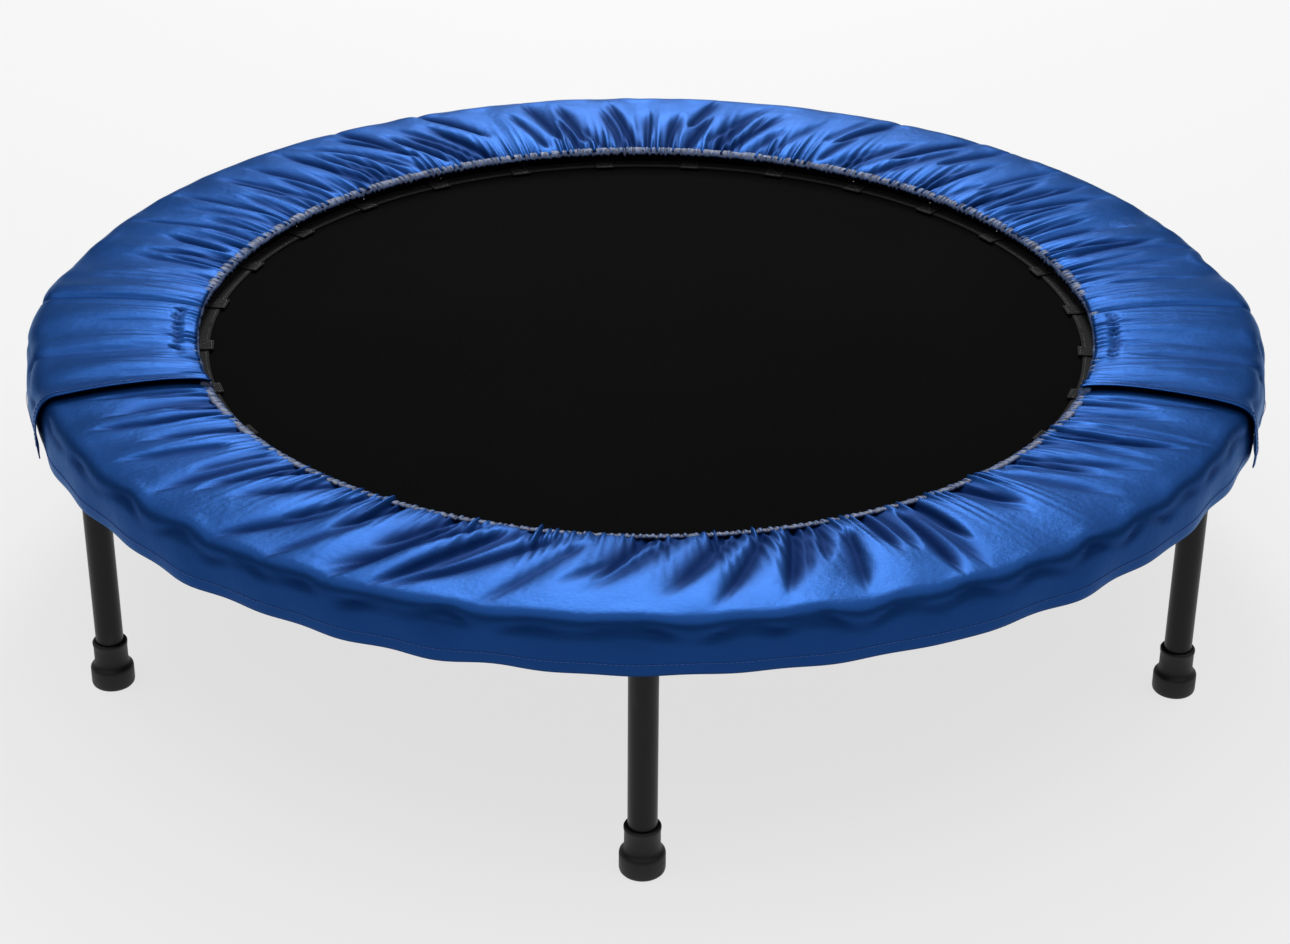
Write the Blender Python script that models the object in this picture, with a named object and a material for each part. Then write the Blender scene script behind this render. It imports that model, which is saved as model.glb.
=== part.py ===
"""Round folding mini trampoline: two hinged half frames on six screw-on legs.

Metres, +Z up. The origin is on the floor under the centre. The fold line is the X axis, the front
half lies towards -Y, and both halves fold up so that the mat ends up inside.
"""

import math

import bmesh
import bpy
from mathutils import Matrix, Vector

# Driving dimensions
FRAME_DIAMETER = 1.016  # over the outside of the tube ring
TUBE_RADIUS = 0.0127
TUBE_WALL = 0.0015
FRAME_HEIGHT = 0.204  # tube centreline above the floor
GAP = 0.0003  # clearance between pieces that touch

FRAME_RADIUS = FRAME_DIAMETER / 2 - TUBE_RADIUS

# Folding hinge: a U channel with one pin for each half
PIVOT_OFFSET = 0.032  # pin centre from the fold line
CHANNEL_HALF_LENGTH = PIVOT_OFFSET + 0.012
CHANNEL_CENTRE = FRAME_RADIUS - 0.0014  # the ring curves inwards along the channel
CHANNEL_HALF_WIDTH = 0.0144
CHANNEL_PLATE = 0.0025
CHANNEL_TOP = 0.008  # cheeks above the tube centreline
CHANNEL_FLOOR = -TUBE_RADIUS - 0.0004  # just clear of the tube
CHANNEL_CORNER = 0.006
PIN_RADIUS = 0.0040
PIN_HOLE_RADIUS = 0.0044
PIN_HEAD_RADIUS = 0.0070
PIN_HEAD = 0.0028

# Mat and springs
MAT_RADIUS = 0.385
MAT_THICKNESS = 0.002
MAT_HEIGHT = FRAME_HEIGHT - 0.003  # just under the pins, so the springs hold the frame flat
SPRINGS_PER_HALF = 14
TAB_RADIUS = 0.397  # outer end of a spring tab on the mat
TAB_HALF_WIDTH = 0.009
TAB_TIP_HALF_WIDTH = 0.0055
TAB_HOLE_CENTRE = 0.391
TAB_HOLE_HALF = 0.003
SPRING_WIRE_RADIUS = 0.0011
SPRING_COIL_RADIUS = 0.0055
COIL_START = 0.405
COIL_END = 0.467
COIL_TAPER = 0.002  # from the full coil to the straight wire
HOOK_HOLE_HALF = 0.003
MAT_HOOK = [(0.0, -0.0050), (0.0, 0.0042), (0.0050, 0.0060)]  # from the tab's hole, up over its edge
FRAME_HOOK = [(0.0035, 0.0), (0.0080, 0.0035), (0.0090, 0.0075)]  # from the tube's inner wall, up inside it

# Cover: a soft shell from its inner hem, over the tube and down to the skirt's edge
COVER_THICKNESS = 0.003
COVER_SECTION = [
    (0.3800, 0.2165),
    (0.3950, 0.2215),
    (0.4300, 0.2258),
    (0.4700, 0.2270),
    (0.4985, 0.2248),
    (0.5145, 0.2140),
    (0.5180, 0.2040),
    (0.5170, 0.1800),
]
COVER_END = math.radians(5)  # from the fold line, clear of the hinge
COVER_STEPS = 30  # facets of a half cover
FLAP_STEPS = 3  # of those facets under a flap, which so ends at 22 degrees
FLAP_END = COVER_END + (math.pi - 2 * COVER_END) * FLAP_STEPS / COVER_STEPS
FLAP_THICKNESS = 0.0016

# Screw-on legs, one every 60 degrees
LEGS = {
    "front_left": 210,
    "front": 270,
    "front_right": 330,
    "back_right": 30,
    "back": 90,
    "back_left": 150,
}
LEG_RADIUS = 0.0110
LEG_WALL = 0.0012
LEG_INSERT = 0.028  # threaded plug in the top of the leg
STUD_RADIUS = 0.0040
STUD_HOLE_RADIUS = 0.0044
STUD_LENGTH = 0.0240
BOSS_RADIUS = 0.0080
BOSS_BOTTOM = FRAME_HEIGHT - TUBE_RADIUS - 0.0028
WASHER_RADIUS = 0.0105
WASHER_THICKNESS = 0.0016
WASHER_BOTTOM = BOSS_BOTTOM - GAP - WASHER_THICKNESS
LEG_TOP = WASHER_BOTTOM - GAP
FOOT_HEIGHT = 0.040
FOOT_BASE_HEIGHT = 0.0190
FOOT_RADIUS = 0.0172
FOOT_CUFF_RADIUS = 0.0138
FOOT_SOCKET_RADIUS = 0.0116
FOOT_SOLE = 0.0055
FOOT_CHAMFER = 0.003
FOOT_SHOULDER = 0.0015  # half the height of the slope from the base to the cuff

# Facets
ROUND_SIDES = 12
BORE_SIDES = 8
RING_STEPS = 28
SHARP_ANGLE = math.radians(40)
CUT_MARGIN = 0.004  # how far a cutter runs past what it cuts


def clear_scene():
    for obj in list(bpy.data.objects):
        bpy.data.objects.remove(obj, do_unlink=True)


def make_material(name, colour, roughness, metallic=0.0):
    material = bpy.data.materials.new(name)
    material.use_nodes = True
    shader = material.node_tree.nodes["Principled BSDF"]
    shader.inputs["Base Color"].default_value = (*colour, 1.0)
    shader.inputs["Roughness"].default_value = roughness
    shader.inputs["Metallic"].default_value = metallic
    return material


def mesh_from(bm, name):
    bmesh.ops.remove_doubles(bm, verts=bm.verts, dist=1e-7)
    bmesh.ops.recalc_face_normals(bm, faces=bm.faces)
    mesh = bpy.data.meshes.new(name)
    bm.to_mesh(mesh)
    bm.free()
    return mesh


def place(name, data, material, parent, location=(0, 0, 0), turn=0.0):
    """Adds one named piece. Each has its own material, tuned from the shared finish."""
    obj = bpy.data.objects.new(name, data)
    bpy.context.collection.objects.link(obj)
    obj.parent = parent
    obj.location = location
    obj.rotation_euler = (0, 0, turn)
    own = material.copy()
    own.name = name
    obj.data.materials.clear()
    obj.data.materials.append(own)
    obj.material_slots[0].link = "OBJECT"
    obj.material_slots[0].material = own
    return obj


def add_empty(name, location, parent=None, turn=0.0):
    empty = bpy.data.objects.new(name, None)
    bpy.context.collection.objects.link(empty)
    empty.parent = parent
    empty.location = location
    empty.rotation_euler = (0, 0, turn)
    return empty


def smooth(mesh):
    mesh.shade_smooth()
    mesh.set_sharp_from_angle(angle=SHARP_ANGLE)
    return mesh


def turned(name, profile, sides=ROUND_SIDES):
    """A solid of revolution about Z from a closed profile of (radius, height)."""
    bm = bmesh.new()
    verts = [bm.verts.new((radius, 0, height)) for radius, height in profile]
    edges = [bm.edges.new(pair) for pair in zip(verts, verts[1:] + verts[:1])]
    bmesh.ops.spin(
        bm, geom=verts + edges, cent=(0, 0, 0), axis=(0, 0, 1), angle=math.tau, steps=sides, use_merge=True
    )
    bmesh.ops.remove_doubles(bm, verts=bm.verts, dist=1e-6)
    return smooth(mesh_from(bm, name))


def prism(bm, outline, depth, matrix):
    """Adds a closed outline of (x, y), extruded along Z by depth, and placed by matrix."""
    face = bm.faces.new([bm.verts.new((x, y, 0)) for x, y in outline])
    side = bmesh.ops.extrude_face_region(bm, geom=[face])["geom"]
    lifted = [item for item in side if isinstance(item, bmesh.types.BMVert)]
    bmesh.ops.translate(bm, verts=lifted, vec=(0, 0, depth))
    bmesh.ops.transform(bm, matrix=matrix, verts=list(face.verts) + lifted)


def arc(radius, start, end, steps):
    angles = [start + (end - start) * step / steps for step in range(steps + 1)]
    return [(radius * math.cos(angle), radius * math.sin(angle)) for angle in angles]


def box_outline(half_x, half_y):
    return [(-half_x, -half_y), (half_x, -half_y), (half_x, half_y), (-half_x, half_y)]


def combine(mesh, tool, operation):
    """The mesh after one Boolean with the tool's mesh."""
    body = bpy.data.objects.new("body", mesh)
    cutter = bpy.data.objects.new("cutter", tool)
    for obj in (body, cutter):
        bpy.context.collection.objects.link(obj)
    cutter.hide_render = True
    cutter.display_type = "WIRE"
    boolean = body.modifiers.new("cut", "BOOLEAN")
    boolean.operation = operation
    boolean.solver = "EXACT"
    boolean.object = cutter
    graph = bpy.context.evaluated_depsgraph_get()
    result = bpy.data.meshes.new_from_object(body.evaluated_get(graph))
    for obj in (body, cutter):
        bpy.data.objects.remove(obj, do_unlink=True)
    return result


def spring_angles():
    """The angles of the front half's springs, evenly spread and clear of the hinge."""
    pitch = math.pi / SPRINGS_PER_HALF
    return [math.pi + pitch * (index + 0.5) for index in range(SPRINGS_PER_HALF)]


def across_x(y, z):
    """Turns a prism's depth along +X, starting from x = 0, with its outline in Y and Z."""
    return Matrix.Translation((0, y, z)) @ Matrix(((0, 0, 1), (1, 0, 0), (0, 1, 0))).to_4x4()


def half_ring(radius, sides, end_y):
    """A solid half ring of tube for the front half, cut off at end_y from the fold line."""
    tail = math.asin(end_y / FRAME_RADIUS)
    start = Matrix.Rotation(math.pi + tail, 4, "Z") @ Matrix.Translation((FRAME_RADIUS, 0, FRAME_HEIGHT))
    upright = Matrix.Rotation(math.pi / 2, 4, "X")
    bm = bmesh.new()
    circle = bmesh.ops.create_circle(bm, segments=sides, radius=radius, matrix=start @ upright)["verts"]
    edges = list({edge for vert in circle for edge in vert.link_edges})
    angle = math.pi - 2 * tail
    bmesh.ops.spin(
        bm, geom=circle + edges, cent=(0, 0, 0), axis=(0, 0, 1), angle=angle, steps=RING_STEPS
    )
    bmesh.ops.holes_fill(bm, edges=[edge for edge in bm.edges if edge.is_boundary])
    return mesh_from(bm, "half_ring")


def bare_half_ring():
    """The front half of the tube ring, hollow and open at both ends."""
    end_y = PIVOT_OFFSET - TUBE_RADIUS - CUT_MARGIN
    tube = half_ring(TUBE_RADIUS, ROUND_SIDES, end_y)
    bore = half_ring(TUBE_RADIUS - TUBE_WALL, BORE_SIDES, end_y - CUT_MARGIN)
    return combine(tube, bore, "DIFFERENCE")


def frame_cutters():
    """What is cut from the half ring: rounded ends, pin holes and one hook hole for each spring."""
    bm = bmesh.new()
    hole = arc(PIN_HOLE_RADIUS, 0, math.tau, ROUND_SIDES)[:-1]
    reach = TUBE_RADIUS + CUT_MARGIN
    notch = arc(TUBE_RADIUS, -math.pi / 2, math.pi / 2, ROUND_SIDES) + [
        (0, reach),
        (PIVOT_OFFSET, reach),
        (PIVOT_OFFSET, -reach),
        (0, -reach),
    ]
    for side in (-1, 1):
        start = Matrix.Translation((side * CHANNEL_CENTRE - 2 * reach, 0, 0))
        placed = start @ across_x(-PIVOT_OFFSET, FRAME_HEIGHT)
        prism(bm, hole, 4 * reach, placed)
        prism(bm, notch, 4 * reach, placed)
    for angle in spring_angles():
        wall = Matrix.Translation((FRAME_RADIUS - TUBE_RADIUS - CUT_MARGIN, 0, MAT_HEIGHT))
        placed = Matrix.Rotation(angle, 4, "Z") @ wall @ across_x(0, 0)
        prism(bm, box_outline(HOOK_HOLE_HALF, HOOK_HOLE_HALF), 2 * CUT_MARGIN, placed)
    return mesh_from(bm, "frame_cutters")


def frame_studs():
    """The welded bosses and threaded studs that the legs screw on to."""
    inside_tube = FRAME_HEIGHT - TUBE_RADIUS + CUT_MARGIN
    bm = bmesh.new()
    for name, degrees in LEGS.items():
        if not name.startswith("front"):
            continue
        at = Matrix.Rotation(math.radians(degrees), 4, "Z") @ Matrix.Translation((FRAME_RADIUS, 0, 0))
        profile = [
            (0, inside_tube),
            (BOSS_RADIUS, inside_tube),
            (BOSS_RADIUS, BOSS_BOTTOM),
            (STUD_RADIUS, BOSS_BOTTOM),
            (STUD_RADIUS, BOSS_BOTTOM - STUD_LENGTH),
            (0, BOSS_BOTTOM - STUD_LENGTH),
        ]
        stud = turned("stud", profile)
        stud.transform(at)
        bm.from_mesh(stud)
    return mesh_from(bm, "frame_studs")


def half_frame_mesh():
    cut = combine(bare_half_ring(), frame_cutters(), "DIFFERENCE")
    return smooth(combine(cut, frame_studs(), "UNION"))


def half_mat_mesh():
    """Half of the mat with its spring tabs, and a hole in each tab for the spring's hook."""
    edge = GAP / 2
    outline = [(MAT_RADIUS, -edge), (-MAT_RADIUS, -edge)]
    holes = bmesh.new()
    for angle in spring_angles():
        turn = Matrix.Rotation(angle, 4, "Z")
        root = math.sqrt(MAT_RADIUS**2 - TAB_HALF_WIDTH**2)
        corners = [
            (root, -TAB_HALF_WIDTH),
            (TAB_RADIUS, -TAB_TIP_HALF_WIDTH),
            (TAB_RADIUS, TAB_TIP_HALF_WIDTH),
            (root, TAB_HALF_WIDTH),
        ]
        outline += [(turn @ Vector((x, y, 0))).xy for x, y in corners]
        to_next = angle + math.pi / SPRINGS_PER_HALF / 2
        if angle != spring_angles()[-1]:
            outline.append((MAT_RADIUS * math.cos(to_next), MAT_RADIUS * math.sin(to_next)))
        placed = turn @ Matrix.Translation((TAB_HOLE_CENTRE, 0, MAT_HEIGHT - MAT_THICKNESS))
        prism(holes, box_outline(TAB_HOLE_HALF, TAB_HOLE_HALF), 2 * MAT_THICKNESS, placed)
    bm = bmesh.new()
    prism(bm, outline, MAT_THICKNESS, Matrix.Translation((0, 0, MAT_HEIGHT - MAT_THICKNESS / 2)))
    return combine(mesh_from(bm, "mat"), mesh_from(holes, "tab_holes"), "DIFFERENCE")


def offset_line(line, distance):
    """A line of (radius, height) moved to its left side by distance, seen in the direction it runs."""
    moved = []
    for index, point in enumerate(line):
        before, after = line[max(index - 1, 0)], line[min(index + 1, len(line) - 1)]
        along = Vector((after[0] - before[0], after[1] - before[1])).normalized()
        moved.append((point[0] - along.y * distance, point[1] + along.x * distance))
    return moved


def swept_shell(name, outer, inner, start, end, steps):
    """A shell between two lines of (radius, height), swept about Z from start to end."""
    bm = bmesh.new()
    turn = Matrix.Rotation(start, 4, "Z")
    section = outer + inner[::-1]
    verts = [bm.verts.new(turn @ Vector((radius, 0, height))) for radius, height in section]
    edges = [bm.edges.new(pair) for pair in zip(verts, verts[1:] + verts[:1])]
    bmesh.ops.spin(
        bm, geom=verts + edges, cent=(0, 0, 0), axis=(0, 0, 1), angle=end - start, steps=steps
    )
    bmesh.ops.holes_fill(bm, edges=[edge for edge in bm.edges if edge.is_boundary])
    return smooth(mesh_from(bm, name))


def half_cover_mesh():
    lining = offset_line(COVER_SECTION, -COVER_THICKNESS)
    return swept_shell(
        "half_cover", COVER_SECTION, lining, math.pi + COVER_END, math.tau - COVER_END, COVER_STEPS
    )


def flap_mesh(name, start, end):
    """A flap of the back cover, lying on the front cover beside the hinge."""
    under = offset_line(COVER_SECTION, GAP)
    upper = offset_line(COVER_SECTION, GAP + FLAP_THICKNESS)
    return swept_shell(name, upper, under, start, end, FLAP_STEPS)


def spring_curve():
    """A spring along +X from the mat's tab to the frame: a fat coil between two wire hooks."""
    coil = SPRING_COIL_RADIUS / SPRING_WIRE_RADIUS
    wall = FRAME_RADIUS - TUBE_RADIUS
    route = [(TAB_HOLE_CENTRE + x, z, 1) for x, z in MAT_HOOK]
    route += [
        (COIL_START - COIL_TAPER, 0, 1),
        (COIL_START, 0, coil),
        (COIL_END, 0, coil),
        (COIL_END + COIL_TAPER, 0, 1),
    ]
    route += [(wall + x, z, 1) for x, z in FRAME_HOOK]
    curve = bpy.data.curves.new("spring", "CURVE")
    curve.dimensions = "3D"
    curve.bevel_depth = SPRING_WIRE_RADIUS
    curve.bevel_resolution = 1
    curve.use_fill_caps = True
    spline = curve.splines.new("POLY")
    spline.points.add(len(route) - 1)
    for point, (x, z, radius) in zip(spline.points, route):
        point.co = (x, 0, z, 1)
        point.radius = radius
    return curve


def channel_mesh():
    """The hinge's U channel, open at the top, with a hole for each half's pin."""
    outside = CHANNEL_HALF_WIDTH + CHANNEL_PLATE
    outline = [
        (-outside, CHANNEL_TOP),
        (-outside, CHANNEL_FLOOR - CHANNEL_PLATE),
        (outside, CHANNEL_FLOOR - CHANNEL_PLATE),
        (outside, CHANNEL_TOP),
        (CHANNEL_HALF_WIDTH, CHANNEL_TOP),
        (CHANNEL_HALF_WIDTH, CHANNEL_FLOOR),
        (-CHANNEL_HALF_WIDTH, CHANNEL_FLOOR),
        (-CHANNEL_HALF_WIDTH, CHANNEL_TOP),
    ]
    along_y = Matrix.Rotation(math.pi / 2, 4, "X")
    bm = bmesh.new()
    prism(bm, outline, 2 * CHANNEL_HALF_LENGTH, Matrix.Translation((0, CHANNEL_HALF_LENGTH, 0)) @ along_y)
    corners = [
        edge
        for edge in bm.edges
        if all(vert.co.z > CHANNEL_TOP - GAP for vert in edge.verts)
        and abs(edge.verts[0].co.y - edge.verts[1].co.y) < GAP
    ]
    bmesh.ops.bevel(bm, geom=corners, offset=CHANNEL_CORNER, segments=3, profile=0.5, affect="EDGES")
    channel = mesh_from(bm, "channel")
    holes = bmesh.new()
    circle = arc(PIN_HOLE_RADIUS, 0, math.tau, ROUND_SIDES)[:-1]
    for side in (-1, 1):
        placed = Matrix.Translation((-2 * outside, 0, 0)) @ across_x(side * PIVOT_OFFSET, 0)
        prism(holes, circle, 4 * outside, placed)
    return combine(channel, mesh_from(holes, "pin_holes"), "DIFFERENCE")


def pin_mesh():
    """A headed pin along X, from one cheek of the channel to the other."""
    cheek = CHANNEL_HALF_WIDTH + CHANNEL_PLATE + GAP
    profile = [
        (0, -cheek - PIN_HEAD),
        (PIN_HEAD_RADIUS, -cheek - PIN_HEAD),
        (PIN_HEAD_RADIUS, -cheek),
        (PIN_RADIUS, -cheek),
        (PIN_RADIUS, cheek),
        (PIN_HEAD_RADIUS, cheek),
        (PIN_HEAD_RADIUS, cheek + PIN_HEAD),
        (0, cheek + PIN_HEAD),
    ]
    mesh = turned("pin", profile)
    mesh.transform(Matrix.Rotation(math.pi / 2, 4, "Y"))
    return mesh


def leg_tube_mesh():
    bore = LEG_RADIUS - LEG_WALL
    bottom = FOOT_SOLE + GAP
    profile = [
        (LEG_RADIUS, LEG_TOP),
        (LEG_RADIUS, bottom),
        (bore, bottom),
        (bore, LEG_TOP - LEG_INSERT),
        (STUD_HOLE_RADIUS, LEG_TOP - LEG_INSERT),
        (STUD_HOLE_RADIUS, LEG_TOP),
    ]
    return turned("leg_tube", profile)


def foot_mesh():
    profile = [
        (0, 0),
        (FOOT_RADIUS - FOOT_CHAMFER, 0),
        (FOOT_RADIUS, FOOT_CHAMFER),
        (FOOT_RADIUS, FOOT_BASE_HEIGHT - FOOT_SHOULDER),
        (FOOT_CUFF_RADIUS, FOOT_BASE_HEIGHT + FOOT_SHOULDER),
        (FOOT_CUFF_RADIUS, FOOT_HEIGHT),
        (FOOT_SOCKET_RADIUS, FOOT_HEIGHT),
        (FOOT_SOCKET_RADIUS, FOOT_SOLE),
        (0, FOOT_SOLE),
    ]
    return turned("leg_foot", profile)


def washer_mesh():
    profile = [
        (WASHER_RADIUS, WASHER_BOTTOM + WASHER_THICKNESS),
        (WASHER_RADIUS, WASHER_BOTTOM),
        (STUD_HOLE_RADIUS, WASHER_BOTTOM),
        (STUD_HOLE_RADIUS, WASHER_BOTTOM + WASHER_THICKNESS),
    ]
    return turned("leg_washer", profile)


def add_half(half, turn, meshes, finishes):
    """One half of the trampoline, hung on an empty at its hinge pins, without its legs."""
    toward = -1 if turn == 0 else 1
    pivot = add_empty(f"{half}_half_pivot", (0, toward * PIVOT_OFFSET, FRAME_HEIGHT), turn=turn)
    centre = (0, PIVOT_OFFSET, -FRAME_HEIGHT)
    place(f"frame_{half}", meshes["frame"].copy(), finishes["painted"], pivot, centre)
    place(f"mat_{half}", meshes["mat"].copy(), finishes["mat"], pivot, centre)
    place(f"cover_{half}", meshes["cover"].copy(), finishes["cover"], pivot, centre)
    for index, angle in enumerate(spring_angles(), 1):
        location = (0, PIVOT_OFFSET, MAT_HEIGHT - FRAME_HEIGHT)
        place(f"spring_{half}_{index:02d}", meshes["spring"].copy(), finishes["steel"], pivot, location, angle)
    return pivot


def add_leg(name, degrees, pivot, turn, meshes, finishes):
    """A leg with its washer and rubber foot, on an empty on the leg's own axis."""
    angle = math.radians(degrees) - turn
    x, y = FRAME_RADIUS * math.cos(angle), FRAME_RADIUS * math.sin(angle)
    axis = add_empty(f"leg_axis_{name}", (x, y + PIVOT_OFFSET, -FRAME_HEIGHT), pivot)
    place(f"leg_washer_{name}", meshes["washer"].copy(), finishes["steel"], axis)
    place(f"leg_tube_{name}", meshes["leg"].copy(), finishes["painted"], axis)
    place(f"leg_foot_{name}", meshes["foot"].copy(), finishes["rubber"], axis)


def main():
    clear_scene()
    finishes = {
        "cover": make_material("cover_fabric", (0.028, 0.120, 0.480), 0.45),
        "mat": make_material("mat_fabric", (0.006, 0.006, 0.007), 0.90),
        "painted": make_material("painted_steel", (0.012, 0.012, 0.013), 0.35),
        "steel": make_material("zinc_steel", (0.550, 0.560, 0.580), 0.35, 1.0),
        "rubber": make_material("rubber", (0.015, 0.015, 0.016), 0.75),
    }
    meshes = {
        "frame": half_frame_mesh(),
        "mat": half_mat_mesh(),
        "cover": half_cover_mesh(),
        "spring": spring_curve(),
        "leg": leg_tube_mesh(),
        "foot": foot_mesh(),
        "washer": washer_mesh(),
        "channel": channel_mesh(),
        "pin": pin_mesh(),
    }
    for half, turn in (("front", 0.0), ("back", math.pi)):
        pivot = add_half(half, turn, meshes, finishes)
        for name, degrees in LEGS.items():
            if name.startswith(half):
                add_leg(name, degrees, pivot, turn, meshes, finishes)
        if half == "front":
            centre = (0, PIVOT_OFFSET, -FRAME_HEIGHT)
            left = flap_mesh("flap_left", math.pi + COVER_END, math.pi + FLAP_END)
            right = flap_mesh("flap_right", math.tau - FLAP_END, math.tau - COVER_END)
            place("cover_flap_left", left, finishes["cover"], pivot, centre)
            place("cover_flap_right", right, finishes["cover"], pivot, centre)
    hinge = add_empty("hinge_links", (0, 0, FRAME_HEIGHT))
    for name, side in (("left", -1), ("right", 1)):
        x = side * CHANNEL_CENTRE
        place(f"hinge_bracket_{name}", meshes["channel"].copy(), finishes["steel"], hinge, (x, 0, 0))
        for half, toward in (("front", -1), ("back", 1)):
            location = (x, toward * PIVOT_OFFSET, 0)
            place(f"hinge_pin_{name}_{half}", meshes["pin"].copy(), finishes["steel"], hinge, location)


main()
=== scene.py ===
"""Dresses the folding mini trampoline's fixed frame: ruffled cover, woven mat, springs, tubes and feet."""

import logging
import math
from dataclasses import dataclass
from enum import Enum
from typing import Iterable, Optional, Sequence, Union

import bmesh
import bpy
import numpy as np
from mathutils import Matrix, Vector


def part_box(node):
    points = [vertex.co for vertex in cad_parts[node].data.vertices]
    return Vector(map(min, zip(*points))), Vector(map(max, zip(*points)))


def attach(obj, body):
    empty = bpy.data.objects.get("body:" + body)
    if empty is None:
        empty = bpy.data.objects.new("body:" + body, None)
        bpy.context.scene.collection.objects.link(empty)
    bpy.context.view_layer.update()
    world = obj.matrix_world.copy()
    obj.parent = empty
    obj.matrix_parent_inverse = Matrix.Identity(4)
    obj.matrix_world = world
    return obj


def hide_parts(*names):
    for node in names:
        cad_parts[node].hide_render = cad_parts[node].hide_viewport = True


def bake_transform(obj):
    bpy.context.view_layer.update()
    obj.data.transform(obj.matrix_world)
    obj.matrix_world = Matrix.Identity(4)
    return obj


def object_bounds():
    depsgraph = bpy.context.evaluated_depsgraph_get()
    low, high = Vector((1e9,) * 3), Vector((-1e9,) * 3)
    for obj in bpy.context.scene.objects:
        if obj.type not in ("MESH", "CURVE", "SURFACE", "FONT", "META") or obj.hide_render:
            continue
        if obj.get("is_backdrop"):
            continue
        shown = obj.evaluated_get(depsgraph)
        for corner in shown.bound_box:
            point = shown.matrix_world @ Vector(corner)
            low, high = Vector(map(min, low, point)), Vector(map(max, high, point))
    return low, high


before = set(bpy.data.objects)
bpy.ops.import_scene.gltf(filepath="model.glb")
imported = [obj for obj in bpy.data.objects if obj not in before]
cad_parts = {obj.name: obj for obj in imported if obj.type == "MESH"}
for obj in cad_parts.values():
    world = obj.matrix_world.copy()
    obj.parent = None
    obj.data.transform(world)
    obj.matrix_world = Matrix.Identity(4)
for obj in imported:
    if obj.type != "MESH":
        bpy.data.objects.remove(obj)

CAD_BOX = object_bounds()
LOG = logging.getLogger("trampoline")
FIXED_BODY = "hinge_links"

Array = np.ndarray
Piece = bpy.types.Object
Point = Sequence[float]
Profile = Sequence[tuple[float, float]]
Operand = Union["Signal", float]


class Half(Enum):
    """The two halves that fold. Each value is the angle at which the half starts, going round from +X."""

    FRONT = math.pi
    BACK = math.tau

    @property
    def word(self) -> str:
        """The half's word in the names of nodes and pieces."""
        return self.name.lower()

    @property
    def body(self) -> str:
        """The body that the half's pieces ride on."""
        return f"{self.word}_half"

    @property
    def side(self) -> float:
        """-1 on the front half, which lies towards -Y, and 1 on the back half."""
        return -1.0 if self is Half.FRONT else 1.0

    def angles(self, count: int, margin: float = 0.0) -> Array:
        """Even angles over the half, short of the fold line by margin at both ends."""
        return np.linspace(margin, math.pi - margin, count) + self.value

    def middles(self, count: int) -> Array:
        """The middle angles of the half's count equal parts."""
        return self.value + math.pi / count * (np.arange(count) + 0.5)

    def bend(self, pieces: Iterable[Piece], level: float, reach: float) -> None:
        """Bakes each piece's transform into its mesh; the pieces stay rigid.

        Args:
            pieces: The pieces.
            level: Not used.
            reach: Not used.
        """
        for piece in pieces:
            self.body
            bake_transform(piece)


# ---------------------------------------------------------------- shader arithmetic


class Signal:
    """A shader socket that takes part in Python expressions."""

    def __init__(self, board: "Board", socket: bpy.types.NodeSocket) -> None:
        """Wraps an output socket of a node that is on the board."""
        self.board = board
        self.socket = socket

    def _maths(self, operation: str, *operands: Operand) -> "Signal":
        """One Math node on these operands."""
        made = self.board.add("ShaderNodeMath", {"operation": operation}, dict(enumerate(operands)))
        return Signal(self.board, made.outputs[0])

    def __add__(self, other: Operand) -> "Signal":
        """self + other."""
        return self._maths("ADD", self, other)

    __radd__ = __add__

    def __sub__(self, other: Operand) -> "Signal":
        """self - other."""
        return self._maths("SUBTRACT", self, other)

    def __rsub__(self, other: Operand) -> "Signal":
        """other - self."""
        return self._maths("SUBTRACT", other, self)

    def __mul__(self, other: Operand) -> "Signal":
        """self * other."""
        return self._maths("MULTIPLY", self, other)

    __rmul__ = __mul__

    def sine(self) -> "Signal":
        """The sine of self."""
        return self._maths("SINE", self)

    def size(self) -> "Signal":
        """The absolute value of self."""
        return self._maths("ABSOLUTE", self)

    def between(self, low: float, high: float) -> "Signal":
        """0 below low, 1 above high, and smooth between them.

        Args:
            low: Where it starts to rise.
            high: Where it reaches 1.

        Returns:
            The signal.
        """
        limits = {"Value": self, "From Min": low, "From Max": high}
        made = self.board.add("ShaderNodeMapRange", {"interpolation_type": "SMOOTHSTEP"}, limits)
        return Signal(self.board, made.outputs[0])


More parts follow.
